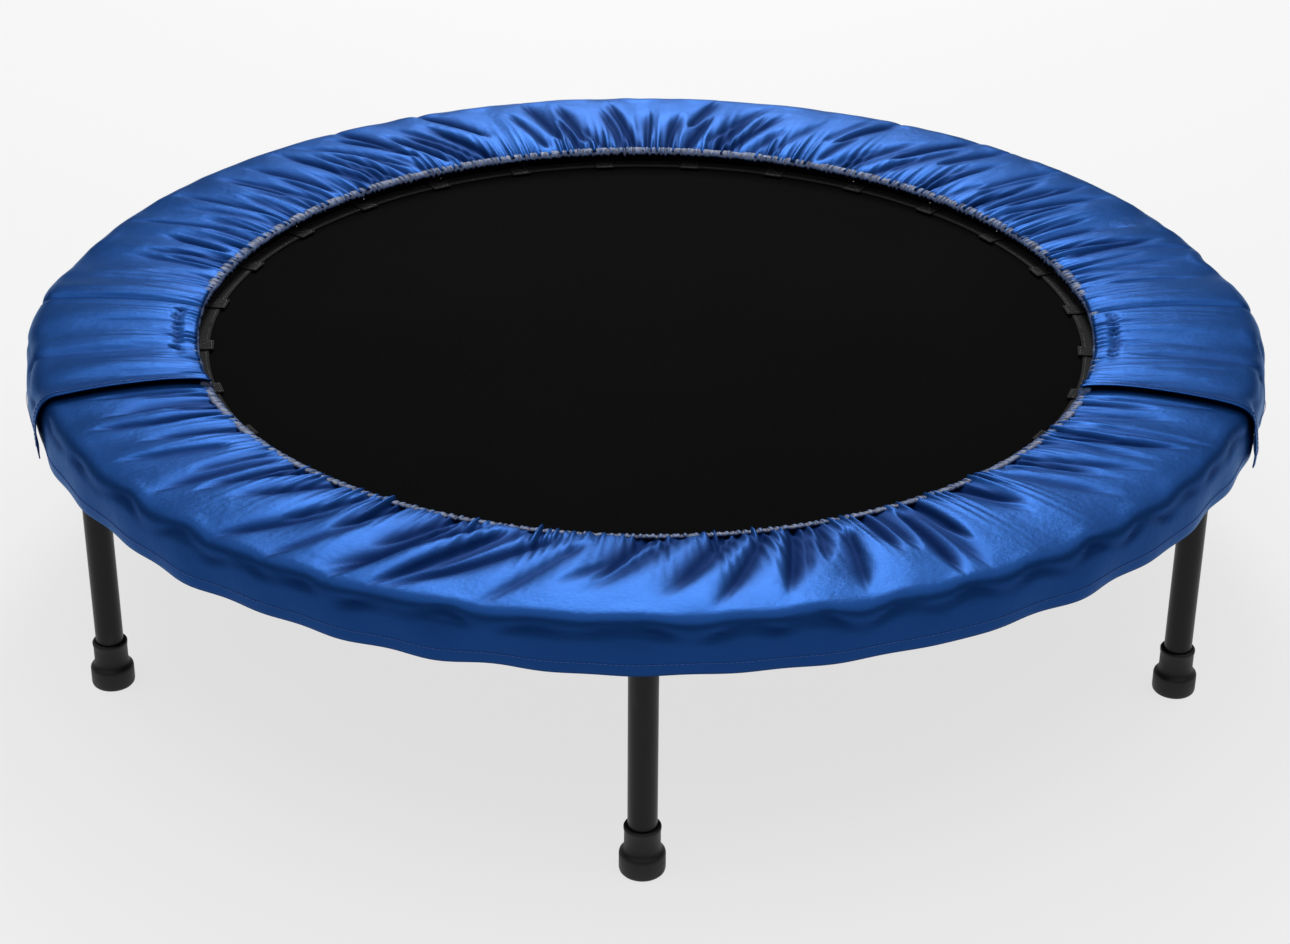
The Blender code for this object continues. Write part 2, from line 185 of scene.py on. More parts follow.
class Board:
    """A material's nodes, and the one way that they are added."""

    def __init__(self, name: str) -> None:
        """Starts a material of this name with one Principled shader."""
        self.material = bpy.data.materials.new(name)
        self.material.use_nodes = True
        self.tree = self.material.node_tree
        self.shader = self.tree.nodes["Principled BSDF"]

    def add(
        self,
        kind: str,
        settings: Optional[dict[str, object]] = None,
        sockets: Optional[dict[Union[str, int], object]] = None,
    ) -> bpy.types.Node:
        """Adds a node.

        Args:
            kind: The node's type.
            settings: Values set on the node itself first; "stops" sets a ramp's stops.
            sockets: The value, or the Signal or output to link, for each input socket.

        Returns:
            The node.
        """
        node = self.tree.nodes.new(kind)
        for key, value in (settings or {}).items():
            if key == "stops":
                self._set_stops(node, value)
            else:
                setattr(node, key, value)
        self.feed(node, sockets or {})
        return node

    def feed(self, node: bpy.types.Node, sockets: dict[Union[str, int], object]) -> None:
        """Sets or links a node's inputs.

        Args:
            node: The node.
            sockets: The value, or the Signal or output to link, for each input socket.
        """
        for key, value in sockets.items():
            if isinstance(value, Signal):
                self.tree.links.new(value.socket, node.inputs[key])
            elif isinstance(value, bpy.types.NodeSocket):
                self.tree.links.new(value, node.inputs[key])
            else:
                node.inputs[key].default_value = value

    @staticmethod
    def _set_stops(node: bpy.types.Node, stops: Sequence[tuple[float, Point]]) -> None:
        """Gives a ramp its stops.

        Args:
            node: The ramp's node.
            stops: Each stop's position and colour.
        """
        for element, (position, colour) in zip(node.color_ramp.elements, stops):
            element.position = position
            element.color = (*colour, 1.0)

    def noise(self, scale: float, detail: float = 3.0, stretch: Point = (1, 1, 1)) -> Signal:
        """Noise in the object's own space, from 0 to 1.

        Args:
            scale: Its features per metre.
            detail: Its octaves.
            stretch: The factor on each axis.

        Returns:
            The noise.
        """
        place = self.add("ShaderNodeTexCoord").outputs["Object"]
        scaled = self.add("ShaderNodeMapping", None, {"Vector": place, "Scale": stretch})
        sockets = {"Vector": scaled.outputs[0], "Scale": scale, "Detail": detail}
        return Signal(self, self.add("ShaderNodeTexNoise", None, sockets).outputs["Fac"])

    def cloth_axes(self) -> tuple[Signal, Signal]:
        """Metres along and across the cloth, from the piece's UV map."""
        split = self.add("ShaderNodeSeparateXYZ", None, {0: self.add("ShaderNodeUVMap").outputs[0]})
        return Signal(self, split.outputs[0]), Signal(self, split.outputs[1])

    def crease_shade(self) -> Signal:
        """The painted crease shade at each point, from 0 to 1, read from the mesh."""
        return Signal(self, self.add("ShaderNodeAttribute", {"attribute_name": "crease_shade"}).outputs["Fac"])

    def tint(self, factor: Signal, low: Point, high: Point) -> bpy.types.NodeSocket:
        """The colour between low, at 0, and high, at 1."""
        return self.add("ShaderNodeValToRGB", {"stops": [(0.0, low), (1.0, high)]}, {0: factor}).outputs[0]

    def bump(self, height: Signal, depth: float) -> None:
        """Feeds the shader's Normal with a bump of this height pattern and depth in metres."""
        made = self.add("ShaderNodeBump", None, {"Height": height, "Distance": depth, "Strength": 1.0})
        self.feed(self.shader, {"Normal": made.outputs[0]})


# ---------------------------------------------------------------- finishes


class Finish:
    """What all finishes share: each wires a shader in paint()."""

    def material(self, name: str) -> bpy.types.Material:
        """Makes the finish's material for one piece.

        Args:
            name: The material's name.

        Returns:
            The material.
        """
        board = Board(name)
        board.feed(board.shader, self.paint(board))
        return board.material

    def paint(self, board: Board) -> dict[str, object]:
        """Wires the bump, and gives the shader's other inputs."""
        raise NotImplementedError


@dataclass(frozen=True)
class SatinNylon(Finish):
    """The cover's shiny royal blue cloth, with its plain weave."""

    light: Point = (0.0085, 0.050, 0.205)
    # dark is the painted shade colour of the creases, the cloth's underside and the flap's slot
    dark: Point = (0.0018, 0.016, 0.092)
    roughness: float = 0.28
    thread: float = 0.00055
    depth: float = 0.00022

    def paint(self, board: Board) -> dict[str, object]:
        """Paints shade into the creases, the cloth's underside and the flap's slot, and dulls them.

        Args:
            board: The material's nodes.

        Returns:
            The shader's inputs.
        """
        along, across = board.cloth_axes()
        wave = math.pi / self.thread
        weave = (along * wave).sine() * (across * wave).sine()
        cloud = board.noise(9.0, 4.0)
        crease_shade = board.crease_shade()
        # Painted shade: the colour falls towards dark in the creases, on the underside and in the slot.
        shade = (cloud * 0.35 + 0.62 - crease_shade * 0.95).between(0.0, 1.0)
        crumple = board.noise(260.0, 3.0) * 0.9 + board.noise(70.0, 2.0) * 1.6
        board.bump(weave * 0.12 + crumple, self.depth)
        return {
            "Base Color": board.tint(shade, self.dark, self.light),
            "Roughness": cloud * 0.12 + crease_shade * 0.45 + weave.size() * 0.02 + self.roughness,
            "Metallic": 0.62,
            "Specular IOR Level": 0.20,
            "Specular Tint": (0.30, 0.62, 1.0, 1.0),
        }


@dataclass(frozen=True)
class ElasticHem(Finish):
    """The cover's narrow elastic casing, paler and greyer than the cloth, partly its own colour and partly a
    painted highlight along the band, with dark speckles of painted shade between its gathers.
    """

    # light is partly a painted highlight along the band; dark is the painted shade of the speckles and the
    # ruffles' hollows
    light: Point = (0.040, 0.110, 0.300)
    dark: Point = (0.003, 0.012, 0.055)
    depth: float = 0.0004

    def paint(self, board: Board) -> dict[str, object]:
        """Speckles the casing with painted shade, shades its ruffles' hollows with painted shade, and ribs it.

        Args:
            board: The material's nodes.

        Returns:
            The shader's inputs.
        """
        along, across = board.cloth_axes()
        ribs = (along * 950.0).sine() * (across * 500.0).sine()
        shade_speckle = board.noise(420.0, 4.0)
        # Painted shade: dark speckles between the gathers, and darker in the ruffles' hollows.
        shade = (shade_speckle * 1.5 - 0.25 - board.crease_shade() * 0.55).between(0.0, 1.0)
        board.bump(ribs * 0.4 + shade_speckle, self.depth)
        return {"Base Color": board.tint(shade, self.dark, self.light), "Roughness": shade_speckle * 0.2 + 0.42}


@dataclass(frozen=True)
class WovenMat(Finish):
    """The mat's black polypropylene weave."""

    light: Point = (0.0012, 0.0012, 0.0013)
    dark: Point = (0.0007, 0.0007, 0.0008)
    strand: float = 0.0016
    depth: float = 0.00012

    def paint(self, board: Board) -> dict[str, object]:
        """Weaves the strands over and under.

        Args:
            board: The material's nodes.

        Returns:
            The shader's inputs.
        """
        along, across = board.cloth_axes()
        wave = math.pi / self.strand
        over = (along * wave).sine() * (across * wave).sine()
        strands = (along * (2 * wave)).sine() * 0.3 + (across * (2 * wave)).sine() * 0.3
        cloud = board.noise(5.0, 4.0)
        shade = (cloud * 0.6 + over * 0.2 + 0.2).between(0.0, 1.0)
        board.bump(over + strands, self.depth)
        return {
            "Base Color": board.tint(shade, self.dark, self.light),
            "Roughness": cloud * 0.1 + 0.80,
            "Specular IOR Level": 0.015,
        }


@dataclass(frozen=True)
class Webbing(Finish):
    """Ribbed woven tape, for the mat's border and its spring loops."""

    light: Point = (0.0060, 0.0060, 0.0063)
    dark: Point = (0.0028, 0.0028, 0.0030)
    rib: float = 0.0014
    depth: float = 0.00018

    def paint(self, board: Board) -> dict[str, object]:
        """Ribs the tape, with a diagonal twill.

        Args:
            board: The material's nodes.

        Returns:
            The shader's inputs.
        """
        along, across = board.cloth_axes()
        wave = math.pi / self.rib
        ribs = (along * wave).sine().size()
        board.bump(ribs + ((along + across) * wave).sine() * 0.3, self.depth)
        return {
            "Base Color": board.tint(ribs * 0.5 + board.noise(30.0) * 0.5, self.dark, self.light),
            "Roughness": ribs * 0.08 + 0.70,
            "Specular IOR Level": 0.10,
        }


@dataclass(frozen=True)
class BlackPaint(Finish):
    """Satin black powder coat on steel tube, a little worn."""

    colour: Point = (0.0030, 0.0030, 0.0032)
    worn: Point = (0.022, 0.022, 0.023)
    roughness: float = 0.31
    depth: float = 0.00004

    def paint(self, board: Board) -> dict[str, object]:
        """Scuffs the paint along the tube and gives it orange peel.

        Args:
            board: The material's nodes.

        Returns:
            The shader's inputs.
        """
        scuffs = board.noise(55.0, 6.0, (1.0, 1.0, 0.35)).between(0.62, 0.80)
        board.bump(board.noise(900.0, 2.0), self.depth)
        return {
            "Base Color": board.tint(scuffs, self.colour, self.worn),
            "Roughness": scuffs * 0.22 + board.noise(25.0) * 0.08 + self.roughness,
            "Specular IOR Level": 0.22,
        }


@dataclass(frozen=True)
class ZincPlate(Finish):
    """Bright zinc on springs, rings and hinge plates."""

    bright: Point = (0.62, 0.63, 0.66)
    dull: Point = (0.38, 0.39, 0.42)
    depth: float = 0.00002

    def paint(self, board: Board) -> dict[str, object]:
        """Spangles the plating.

        Args:
            board: The material's nodes.

        Returns:
            The shader's inputs.
        """
        spangle = board.noise(120.0, 5.0)
        board.bump(board.noise(700.0, 3.0), self.depth)
        colour = board.tint(spangle, self.dull, self.bright)
        return {"Base Color": colour, "Roughness": spangle * 0.2 + 0.22, "Metallic": 1.0}


@dataclass(frozen=True)
class MouldedRubber(Finish):
    """Black rubber with a fine moulded grain and a trace of dust."""

    colour: Point = (0.0050, 0.0050, 0.0052)
    dusty: Point = (0.018, 0.0175, 0.017)
    depth: float = 0.00005

    def paint(self, board: Board) -> dict[str, object]:
        """Dusts the rubber and grains it.

        Args:
            board: The material's nodes.

        Returns:
            The shader's inputs.
        """
        dust = board.noise(80.0, 5.0).between(0.45, 0.85)
        board.bump(board.noise(1500.0, 2.0), self.depth)
        colour = board.tint(dust, self.colour, self.dusty)
        return {"Base Color": colour, "Roughness": dust * 0.2 + 0.5, "Specular IOR Level": 0.30}


@dataclass(frozen=True)
class SewingThread(Finish):
    """Polyester thread of one colour."""

    colour: Point
    shaded: float = 0.6
    depth: float = 0.00005

    def paint(self, board: Board) -> dict[str, object]:
        """Twists the thread.

        Args:
            board: The material's nodes.

        Returns:
            The shader's inputs.
        """
        twist = board.noise(2500.0, 2.0)
        darker = tuple(self.shaded * part for part in self.colour)
        board.bump(twist, self.depth)
        return {"Base Color": board.tint(twist, darker, self.colour), "Roughness": twist * 0.1 + 0.45}


@dataclass(frozen=True)
class StudioFloor(Finish):
    """The pale floor under the object, which glows a little as a light table does."""

    colour: Point = (0.13, 0.13, 0.13)
    glow: float = 0.72

    def paint(self, board: Board) -> dict[str, object]:
        """Gives the floor its faintly uneven sheen.

        Args:
            board: The material's nodes.

        Returns:
            The shader's inputs.
        """
        return {
            "Base Color": (*self.colour, 1.0),
            "Roughness": board.noise(2.0) * 0.05 + 0.75,
            "Specular IOR Level": 0.05,
            "Emission Color": (1.0, 1.0, 1.0, 1.0),
            "Emission Strength": self.glow,
        }


# ---------------------------------------------------------------- mesh making


def smoothstep(low: float, high: float, value: Array) -> Array:
    """A smooth rise from 0 at low to 1 at high."""
    t = np.clip((value - low) / (high - low), 0.0, 1.0)
    return t * t * (3 - 2 * t)


def spread(along: Array, across: Array) -> Array:
    """A grid of pairs, such as a UV map.

    Args:
        along: The first number, for each row.
        across: The second number, for each place in a row or for each point.

    Returns:
        The pairs, by row and column.
    """
    shape = (len(along), np.shape(across)[-1])
    return np.stack([np.broadcast_to(along[:, None], shape), np.broadcast_to(across, shape)], axis=-1)


def polar(radius: Array, angles: Array, level: Array) -> Array:
    """A grid of points round the Z axis, with a row for each angle.

    Args:
        radius: The radius, for each place in a row or for each point.
        angles: Each row's angle.
        level: The height, given in the same way.

    Returns:
        The points, by row and column.
    """
    x, y = radius * np.cos(angles)[:, None], radius * np.sin(angles)[:, None]
    return np.stack([x, y, np.broadcast_to(level, x.shape)], axis=-1)


def turn_about_z(points: Array, angle: float) -> Array:
    """Turns points about the Z axis.

    Args:
        points: The points, with X, Y and Z last.
        angle: The turn in radians.

    Returns:
        The turned points.
    """
    c, s = math.cos(angle), math.sin(angle)
    x, y = points[..., 0], points[..., 1]
    return np.stack([c * x - s * y, s * x + c * y, points[..., 2]], axis=-1)


def lengths_along(points: Array) -> Array:
    """The length along a line at each of its points."""
    return np.concatenate([[0.0], np.cumsum(np.linalg.norm(np.diff(points, axis=0), axis=1))])


def points_at(marks: Array, at: Array, points: Array) -> Array:
    """The points of a line at some lengths along it.

    Args:
        marks: The lengths.
        at: The length at each of the line's own points.
        points: The line's own points.

    Returns:
        The points.
    """
    return np.stack([np.interp(marks, at, column) for column in points.T], axis=1)


def rounded_line(points: Sequence[Point], steps: int) -> Array:
    """A smooth line through points, as a Catmull-Rom curve.

    Args:
        points: The points it passes through.
        steps: Its steps between two of them.

    Returns:
        The line's points.
    """
    knots = np.array(points, float)
    knots = np.vstack([2 * knots[0] - knots[1], knots, 2 * knots[-1] - knots[-2]])
    t = np.linspace(0, 1, steps, endpoint=False)[:, None]
    pieces = []
    for a, b, c, d in zip(knots, knots[1:], knots[2:], knots[3:]):
        bend = (2 * a - 5 * b + 4 * c - d) * t**2 + (3 * b - a - 3 * c + d) * t**3
        pieces.append(0.5 * (2 * b + (c - a) * t + bend))
    return np.vstack([*pieces, knots[-2][None]])


def sideways(line: Array) -> Array:
    """A flat line's unit normals, a quarter turn to the left of its run.

    Args:
        line: The line's points, each with two coordinates.

    Returns:
        One normal for each point.
    """
    ahead = np.gradient(line, axis=0)
    ahead /= np.linalg.norm(ahead, axis=1, keepdims=True)
    return np.stack([-ahead[:, 1], ahead[:, 0]], axis=1)


class SmoothNoise:
    """Repeatable smooth noise round the ring, as a sum of random waves."""

    spread_of_rates = (0.55, 1.6)
    strength = 0.7

    def __init__(self, seed: int, wavelength: float, radius: float, waves: int = 14) -> None:
        """Chooses the waves.

        Args:
            seed: Their seed.
            wavelength: Their middle length, in metres along the ring.
            radius: The ring's radius.
            waves: How many there are.
        """
        rng = np.random.default_rng(seed)
        middle = math.tau * radius / wavelength
        self.rates = np.round(middle * rng.uniform(*self.spread_of_rates, waves))
        self.phases = rng.uniform(0, math.tau, waves)
        self.scale = self.strength / math.sqrt(waves / 2)

    def __call__(self, angle: Array) -> Array:
        """The noise at each angle, mostly between -1 and 1."""
        return np.sin(angle[..., None] * self.rates + self.phases).sum(axis=-1) * self.scale


class Loft:
    """Gathers grids, tubes and turned shapes, and makes one object of them."""

    def __init__(self) -> None:
        """Starts empty."""
        self.points: list[Array] = []
        self.uvs: list[Array] = []
        self.crease_shades: list[Array] = []
        self.quads: list[Array] = []
        self.fans: list[list[int]] = []
        self.count = 0

    def grid(
        self,
        points: Array,
        close_rows: bool = False,
        close_columns: bool = False,
        uv: Optional[Array] = None,
        crease_shade: Optional[Array] = None,
    ) -> Array:
        """Adds a grid of points as a surface.

        Args:
            points: The points, by row and column.
            close_rows: Whether the last row joins the first.
            close_columns: Whether the last column joins the first.
            uv: Metres along and across the cloth at each point.
            crease_shade: How much painted shade each point gets, from 0 to 1.

        Returns:
            The points' indices, by row and column.
        """
        flat = points.reshape(-1, 3)
        self.points.append(flat)
        self.uvs.append(flat[:, :2] if uv is None else uv.reshape(-1, 2))
        self.crease_shades.append(np.zeros(len(flat)) if crease_shade is None else crease_shade.reshape(-1))
        index = np.arange(self.count, self.count + len(flat)).reshape(points.shape[:2])
        self.count += len(flat)
        a = np.vstack([index, index[:1]]) if close_rows else index
        a = np.hstack([a, a[:, :1]]) if close_columns else a
        self.quads.append(np.stack([a[:-1, :-1], a[1:, :-1], a[1:, 1:], a[:-1, 1:]], axis=-1).reshape(-1, 4))
        return index

    def join(self, first: Array, second: Array, closed: bool = False) -> None:
        """Adds the faces between two lines of indices of the same length."""
        a, b = (np.append(line, line[:1]) if closed else line for line in (first, second))
        self.quads.append(np.stack([a[:-1], a[1:], b[1:], b[:-1]], axis=-1))

    def rod(self, points: Array, uv: Optional[Array] = None, crease_shade: Optional[Array] = None) -> None:
        """Adds a closed body whose rows are rings of points, with a cap on its first and last ring.

        Args:
            points: The points, by ring and place in the ring.
            uv: Metres along and across the cloth at each point.
            crease_shade: How much painted shade each point gets, from 0 to 1.
        """
        index = self.grid(points, close_columns=True, uv=uv, crease_shade=crease_shade)
        self.fans += [index[0].tolist(), index[-1][::-1].tolist()]

    def slab(self, top: Array, under: Array, uv: Array, crease_shade: Optional[Array] = None) -> None:
        """Adds a closed sheet from its two faces, the lower one given full painted shade all over.

        Args:
            top: The upper face's points, by row and column.
            under: The lower face's points.
            uv: Metres along and across the cloth at each point.
            crease_shade: How much painted shade each point gets, or None for a sheet with none.
        """
        a = self.grid(top, uv=uv, crease_shade=crease_shade)
        # Painted shade: the lower face is shaded as if all of it lay in a crease.
        b = self.grid(under, uv=uv, crease_shade=None if crease_shade is None else np.ones_like(crease_shade))
        for edge in (np.s_[0], np.s_[-1], np.s_[:, 0], np.s_[:, -1]):
            self.join(a[edge], b[edge])

    def tube(self, path: Array, radius: float, sides: int, closed: bool = False) -> None:
        """Adds a round tube or wire along a path, with capped ends unless it is closed.

        Args:
            path: The points of its centreline.
            radius: Its radius.
            sides: Its facets round.
            closed: Whether the path joins its own start.
        """
        ahead = np.roll(path, -1, axis=0) - np.roll(path, 1, axis=0)
        if not closed:
            ahead[0], ahead[-1] = path[1] - path[0], path[-1] - path[-2]
        ahead /= np.linalg.norm(ahead, axis=1, keepdims=True)
        steep = abs(ahead[0][2]) >= 0.8
        normal = np.array([1.0, 0.0, 0.0] if steep else [0.0, 0.0, 1.0])
        normals = np.empty_like(path)
        for i, direction in enumerate(ahead):
            normal = normal - direction * (normal @ direction)
            normal = normal / np.linalg.norm(normal)
            normals[i] = normal
        angles = (np.arange(sides) * (math.tau / sides))[None, :, None]
        ring = normals[:, None] * np.cos(angles) + np.cross(ahead, normals)[:, None] * np.sin(angles)
        points = path[:, None] + ring * radius
        if closed:
            self.grid(points, close_rows=True, close_columns=True)
        else:
            self.rod(points)

    def turned(self, profile: Profile, sides: int, matrix: Matrix, capped: bool = False) -> None:
        """Adds a solid of revolution about Z, placed by a matrix.

        Args:
            profile: Its (radius, height) points.
            sides: Its facets round.
            matrix: Where it goes.
            capped: Whether it has a flat cap at both ends. If not, its last point joins its first.
        """
        radius, height = np.array(profile).T
        angles = np.arange(sides) * (math.tau / sides)
        m = np.array(matrix)
        points = polar(radius, angles, height).swapaxes(0, 1) @ m[:3, :3].T + m[:3, 3]
        if capped:
            self.rod(points)
        else:
            self.grid(points, close_rows=True, close_columns=True)

    def stitches(self, path: Array, length: float, pitch: float, thickness: float) -> None:
        """Adds a row of thread stitches along a path.

        Args:
            path: The points of the seam.
            length: Each stitch's length.
            pitch: From one stitch to the next.
            thickness: The thread's diameter.
        """
        at = lengths_along(path)
        shares = length * np.array([0.0, 0.18, 0.5, 0.82, 1.0])
        for start in np.arange(pitch / 2, at[-1] - length, pitch):
            self.tube(points_at(start + shares, at, path), thickness / 2, 5)

    def object(self, name: str, sharp: Optional[float] = None) -> Piece:
        """Makes the object, with its normals facing out.

        Args:
            name: The object's name.
            sharp: The angle in degrees over which an edge is sharp, or None for none.

        Returns:
            The object, in the scene.
        """
        mesh = bpy.data.meshes.new(name)
        quads = np.concatenate(self.quads)
        mesh.from_pydata(np.concatenate(self.points).tolist(), [], quads.tolist() + self.fans)
        corner = np.empty(len(mesh.loops), np.int32)
        mesh.loops.foreach_get("vertex_index", corner)
        layer = mesh.uv_layers.new(name="UVMap")
        layer.uv.foreach_set("vector", np.concatenate(self.uvs)[corner].astype(np.float32).ravel())
        crease_shade = mesh.attributes.new("crease_shade", "FLOAT", "POINT")
        crease_shade.data.foreach_set("value", np.concatenate(self.crease_shades).astype(np.float32))
        bm = bmesh.new()
        bm.from_mesh(mesh)
        bmesh.ops.recalc_face_normals(bm, faces=bm.faces)
        bm.to_mesh(mesh)
        bm.free()
        mesh.shade_smooth()
        if sharp is not None:
            mesh.set_sharp_from_angle(angle=math.radians(sharp))
        obj = bpy.data.objects.new(name, mesh)
        bpy.context.collection.objects.link(obj)
        return obj


def dress(piece: Piece, finish: Finish, slot: str, stands_for: str = "") -> Piece:
    """Gives a piece its finish, and hides the CAD node that it replaces.

    Args:
        piece: The piece.
        finish: Its finish.
        slot: Not used.
        stands_for: The CAD node that it replaces, if any.

    Returns:
        The same piece.
    """
    piece.data.materials.append(finish.material(piece.name))
    if stands_for:
        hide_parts(stands_for)
    LOG.info("%s: %d faces", piece.name, len(piece.data.polygons))
    return piece


# ---------------------------------------------------------------- the cover


@dataclass(frozen=True)
class Crease:
    """One crease where the gathered cloth dips. Lengths are in metres from the inner hem."""

    angle: float
    slant: float
    start: float
    end: float
    depth: float
    width: float
    skew: float


class CoverSurface:
    """The gathered cloth as one surface round the whole ring, from its inner hem to the skirt's edge.

    A place on it is an angle round the ring and a length along the section from the inner hem. The
    cloth is drawn up evenly at both hems, so it stands in puffs between creases that slant, and the
    skirt below the rim hangs nearly smooth.
    """

    section = (
        (0.3800, 0.2150), (0.3900, 0.2186), (0.4150, 0.2228), (0.4500, 0.2250),
        (0.4830, 0.2248), (0.5020, 0.2230), (0.5100, 0.2190), (0.5142, 0.2120),
        (0.5160, 0.2020), (0.5166, 0.1900), (0.5158, 0.1800),
    )
    steps = 56
    rim = 0.1400
    hem_fade = 0.022
    seed = 11
    hem_radius = 0.38
    top_width = 0.44
    furthest_turn = 0.20
    soft = 0.0010
    lean_spots = (0, 40, 60, 85, 90, 95, 125, 150, 180, 215, 240, 255, 285, 293, 312, 335, 360)
    leans = (0, -10, -26, -18, 0, 18, 26, 10, 0, -6, -22, -34, -30, -4, 20, 8, 0)

    def __init__(self) -> None:
        """Works out the section and places the creases."""
        line = rounded_line(self.section, 12)
        at = lengths_along(line)
        self.lengths = at[-1] * np.linspace(0, 1, self.steps)
        self.line = points_at(self.lengths, at, line)
        self.normals = sideways(self.line)
        self.creases = list(self._place_creases(np.random.default_rng(self.seed)))
        self.hem_waves = SmoothNoise(2, 0.0085, 0.38, 24)
        self.hem_drift = SmoothNoise(3, 0.045, 0.38)
        self.rim_wander = SmoothNoise(4, 0.085, 0.51)
        self.rim_depth = SmoothNoise(5, 0.060, 0.51)
        self.skirt_waves = SmoothNoise(6, 0.110, 0.51)
        self.puffs = SmoothNoise(7, 0.070, 0.45)

    def _place_creases(self, rng: np.random.Generator) -> Iterable[Crease]:
        """Spreads creases round the ring, longer and wider apart at the front and back.

        Args:
            rng: Where the random numbers come from.

        Yields:
            Each crease.
        """
        degrees = 0.0
        while degrees < 360.0:
            front = float(smoothstep(58, 30, np.abs(degrees - 270.0)))
            back = float(smoothstep(46, 20, np.abs(degrees - 90.0)))
            broad = max(front, back * 0.6)
            gap = (1.75 + 0.85 * broad) * rng.choice([0.55, 0.8, 1.1, 1.9], p=[0.3, 0.3, 0.25, 0.15])
            lean = math.radians(np.interp(degrees, self.lean_spots, self.leans) + rng.uniform(-9, 9))
            starts = [-0.014, rng.uniform(0.0, 0.012), rng.uniform(0.018, 0.050)]
            start = rng.choice(starts, p=[0.55, 0.3, 0.15])
            reach = rng.uniform(0.070, 0.125) + 0.018 * broad
            yield Crease(
                angle=math.radians(degrees),
                slant=lean,
                start=start,
                end=min(start + reach, self.rim),
                depth=rng.uniform(0.0022, 0.0056) * (0.85 + 0.45 * broad),
                width=rng.uniform(0.0026, 0.0046) * (0.85 + 0.3 * broad),
                skew=rng.uniform(-0.55, 0.55),
            )
            degrees += gap

    def _dips(self, angles: Array) -> Array:
        """How deep the creases are.

        Args:
            angles: Angles round the ring.

        Returns:
            The depth, by angle and length.
        """
        depth = np.zeros((len(angles), self.steps))
        radius = self.line[:, 0]
        for crease in self.creases:
            part = np.clip((self.lengths - crease.start) / (crease.end - crease.start), 0.0, 1.0)
            on = smoothstep(0.0, 0.18, part) * (1 - smoothstep(0.62, 1.0, part))
            centre = crease.angle + math.tan(crease.slant) * (radius - self.hem_radius) / self.top_width
            away = (angles[:, None] - centre[None] + math.pi) % math.tau - math.pi
            near = np.abs(away).min(axis=1) < self.furthest_turn
            apart = away[near] * radius * math.cos(crease.slant)
            grown = crease.width * (0.55 + 0.75 * np.sin(math.pi * part))
            width = grown * (1 + crease.skew * np.sign(apart))
            shape = np.exp(-(np.sqrt(apart**2 + self.soft**2) - self.soft) / width)
            depth[near] = np.maximum(depth[near], crease.depth * on * shape)
        return depth

    def height(self, angles: Array, calm: Array) -> tuple[Array, Array]:
        """The cloth's height over its plain section.

        Args:
            angles: Angles round the ring.
            calm: How smooth the cloth is at each angle, from 0, fully creased, to 1.

        Returns:
            The height, and how much painted shade each point gets from 0 to 1.
        """
        rough = 1 - calm
        length = self.lengths[None]
        dips = self._dips(angles) * rough[:, None]
        hem = self.hem_waves(angles)[:, None] * (1 + 0.5 * self.hem_drift(angles)[:, None])
        hem = hem * np.exp(-length / self.hem_fade) * 0.0016 * (0.35 + 0.65 * rough[:, None])
        past_rim = length - (self.rim + 0.0042 * self.rim_wander(angles)[:, None])
        fold = np.exp(-((past_rim / 0.0032) ** 2)) * (0.0012 + 0.0007 * self.rim_depth(angles)[:, None])
        swell = 0.0013 * np.exp(-(((past_rim + 0.010) / 0.008) ** 2))
        skirt = smoothstep(self.rim, self.lengths[-1], length) * 0.0018 * self.skirt_waves(angles)[:, None]
        puff = 0.0009 * self.puffs(angles)[:, None] * np.sin(math.pi * np.clip(length / self.rim, 0, 1))
        # Painted shade: deeper in the creases, in the fold under the rim and in the hem's hollows.
        crease_shade = dips / 0.0052 + np.clip(fold, 0, 1) / 0.004 + np.clip(-hem, 0, 1) / 0.003
        return hem + swell + skirt + puff - dips - fold, np.clip(crease_shade, 0, 1)

    def points(self, angles: Array, height: Array) -> Array:
        """Places in space at these angles, one row for each, raised by height."""
        radius = self.line[:, 0] + self.normals[:, 0] * height
        return polar(radius, angles, self.line[:, 1] + self.normals[:, 1] * height)


class Panel(Enum):
    """The kinds of panel that the cover is made of."""

    FRONT = "front"
    BACK = "back"
    FLAP = "flap"


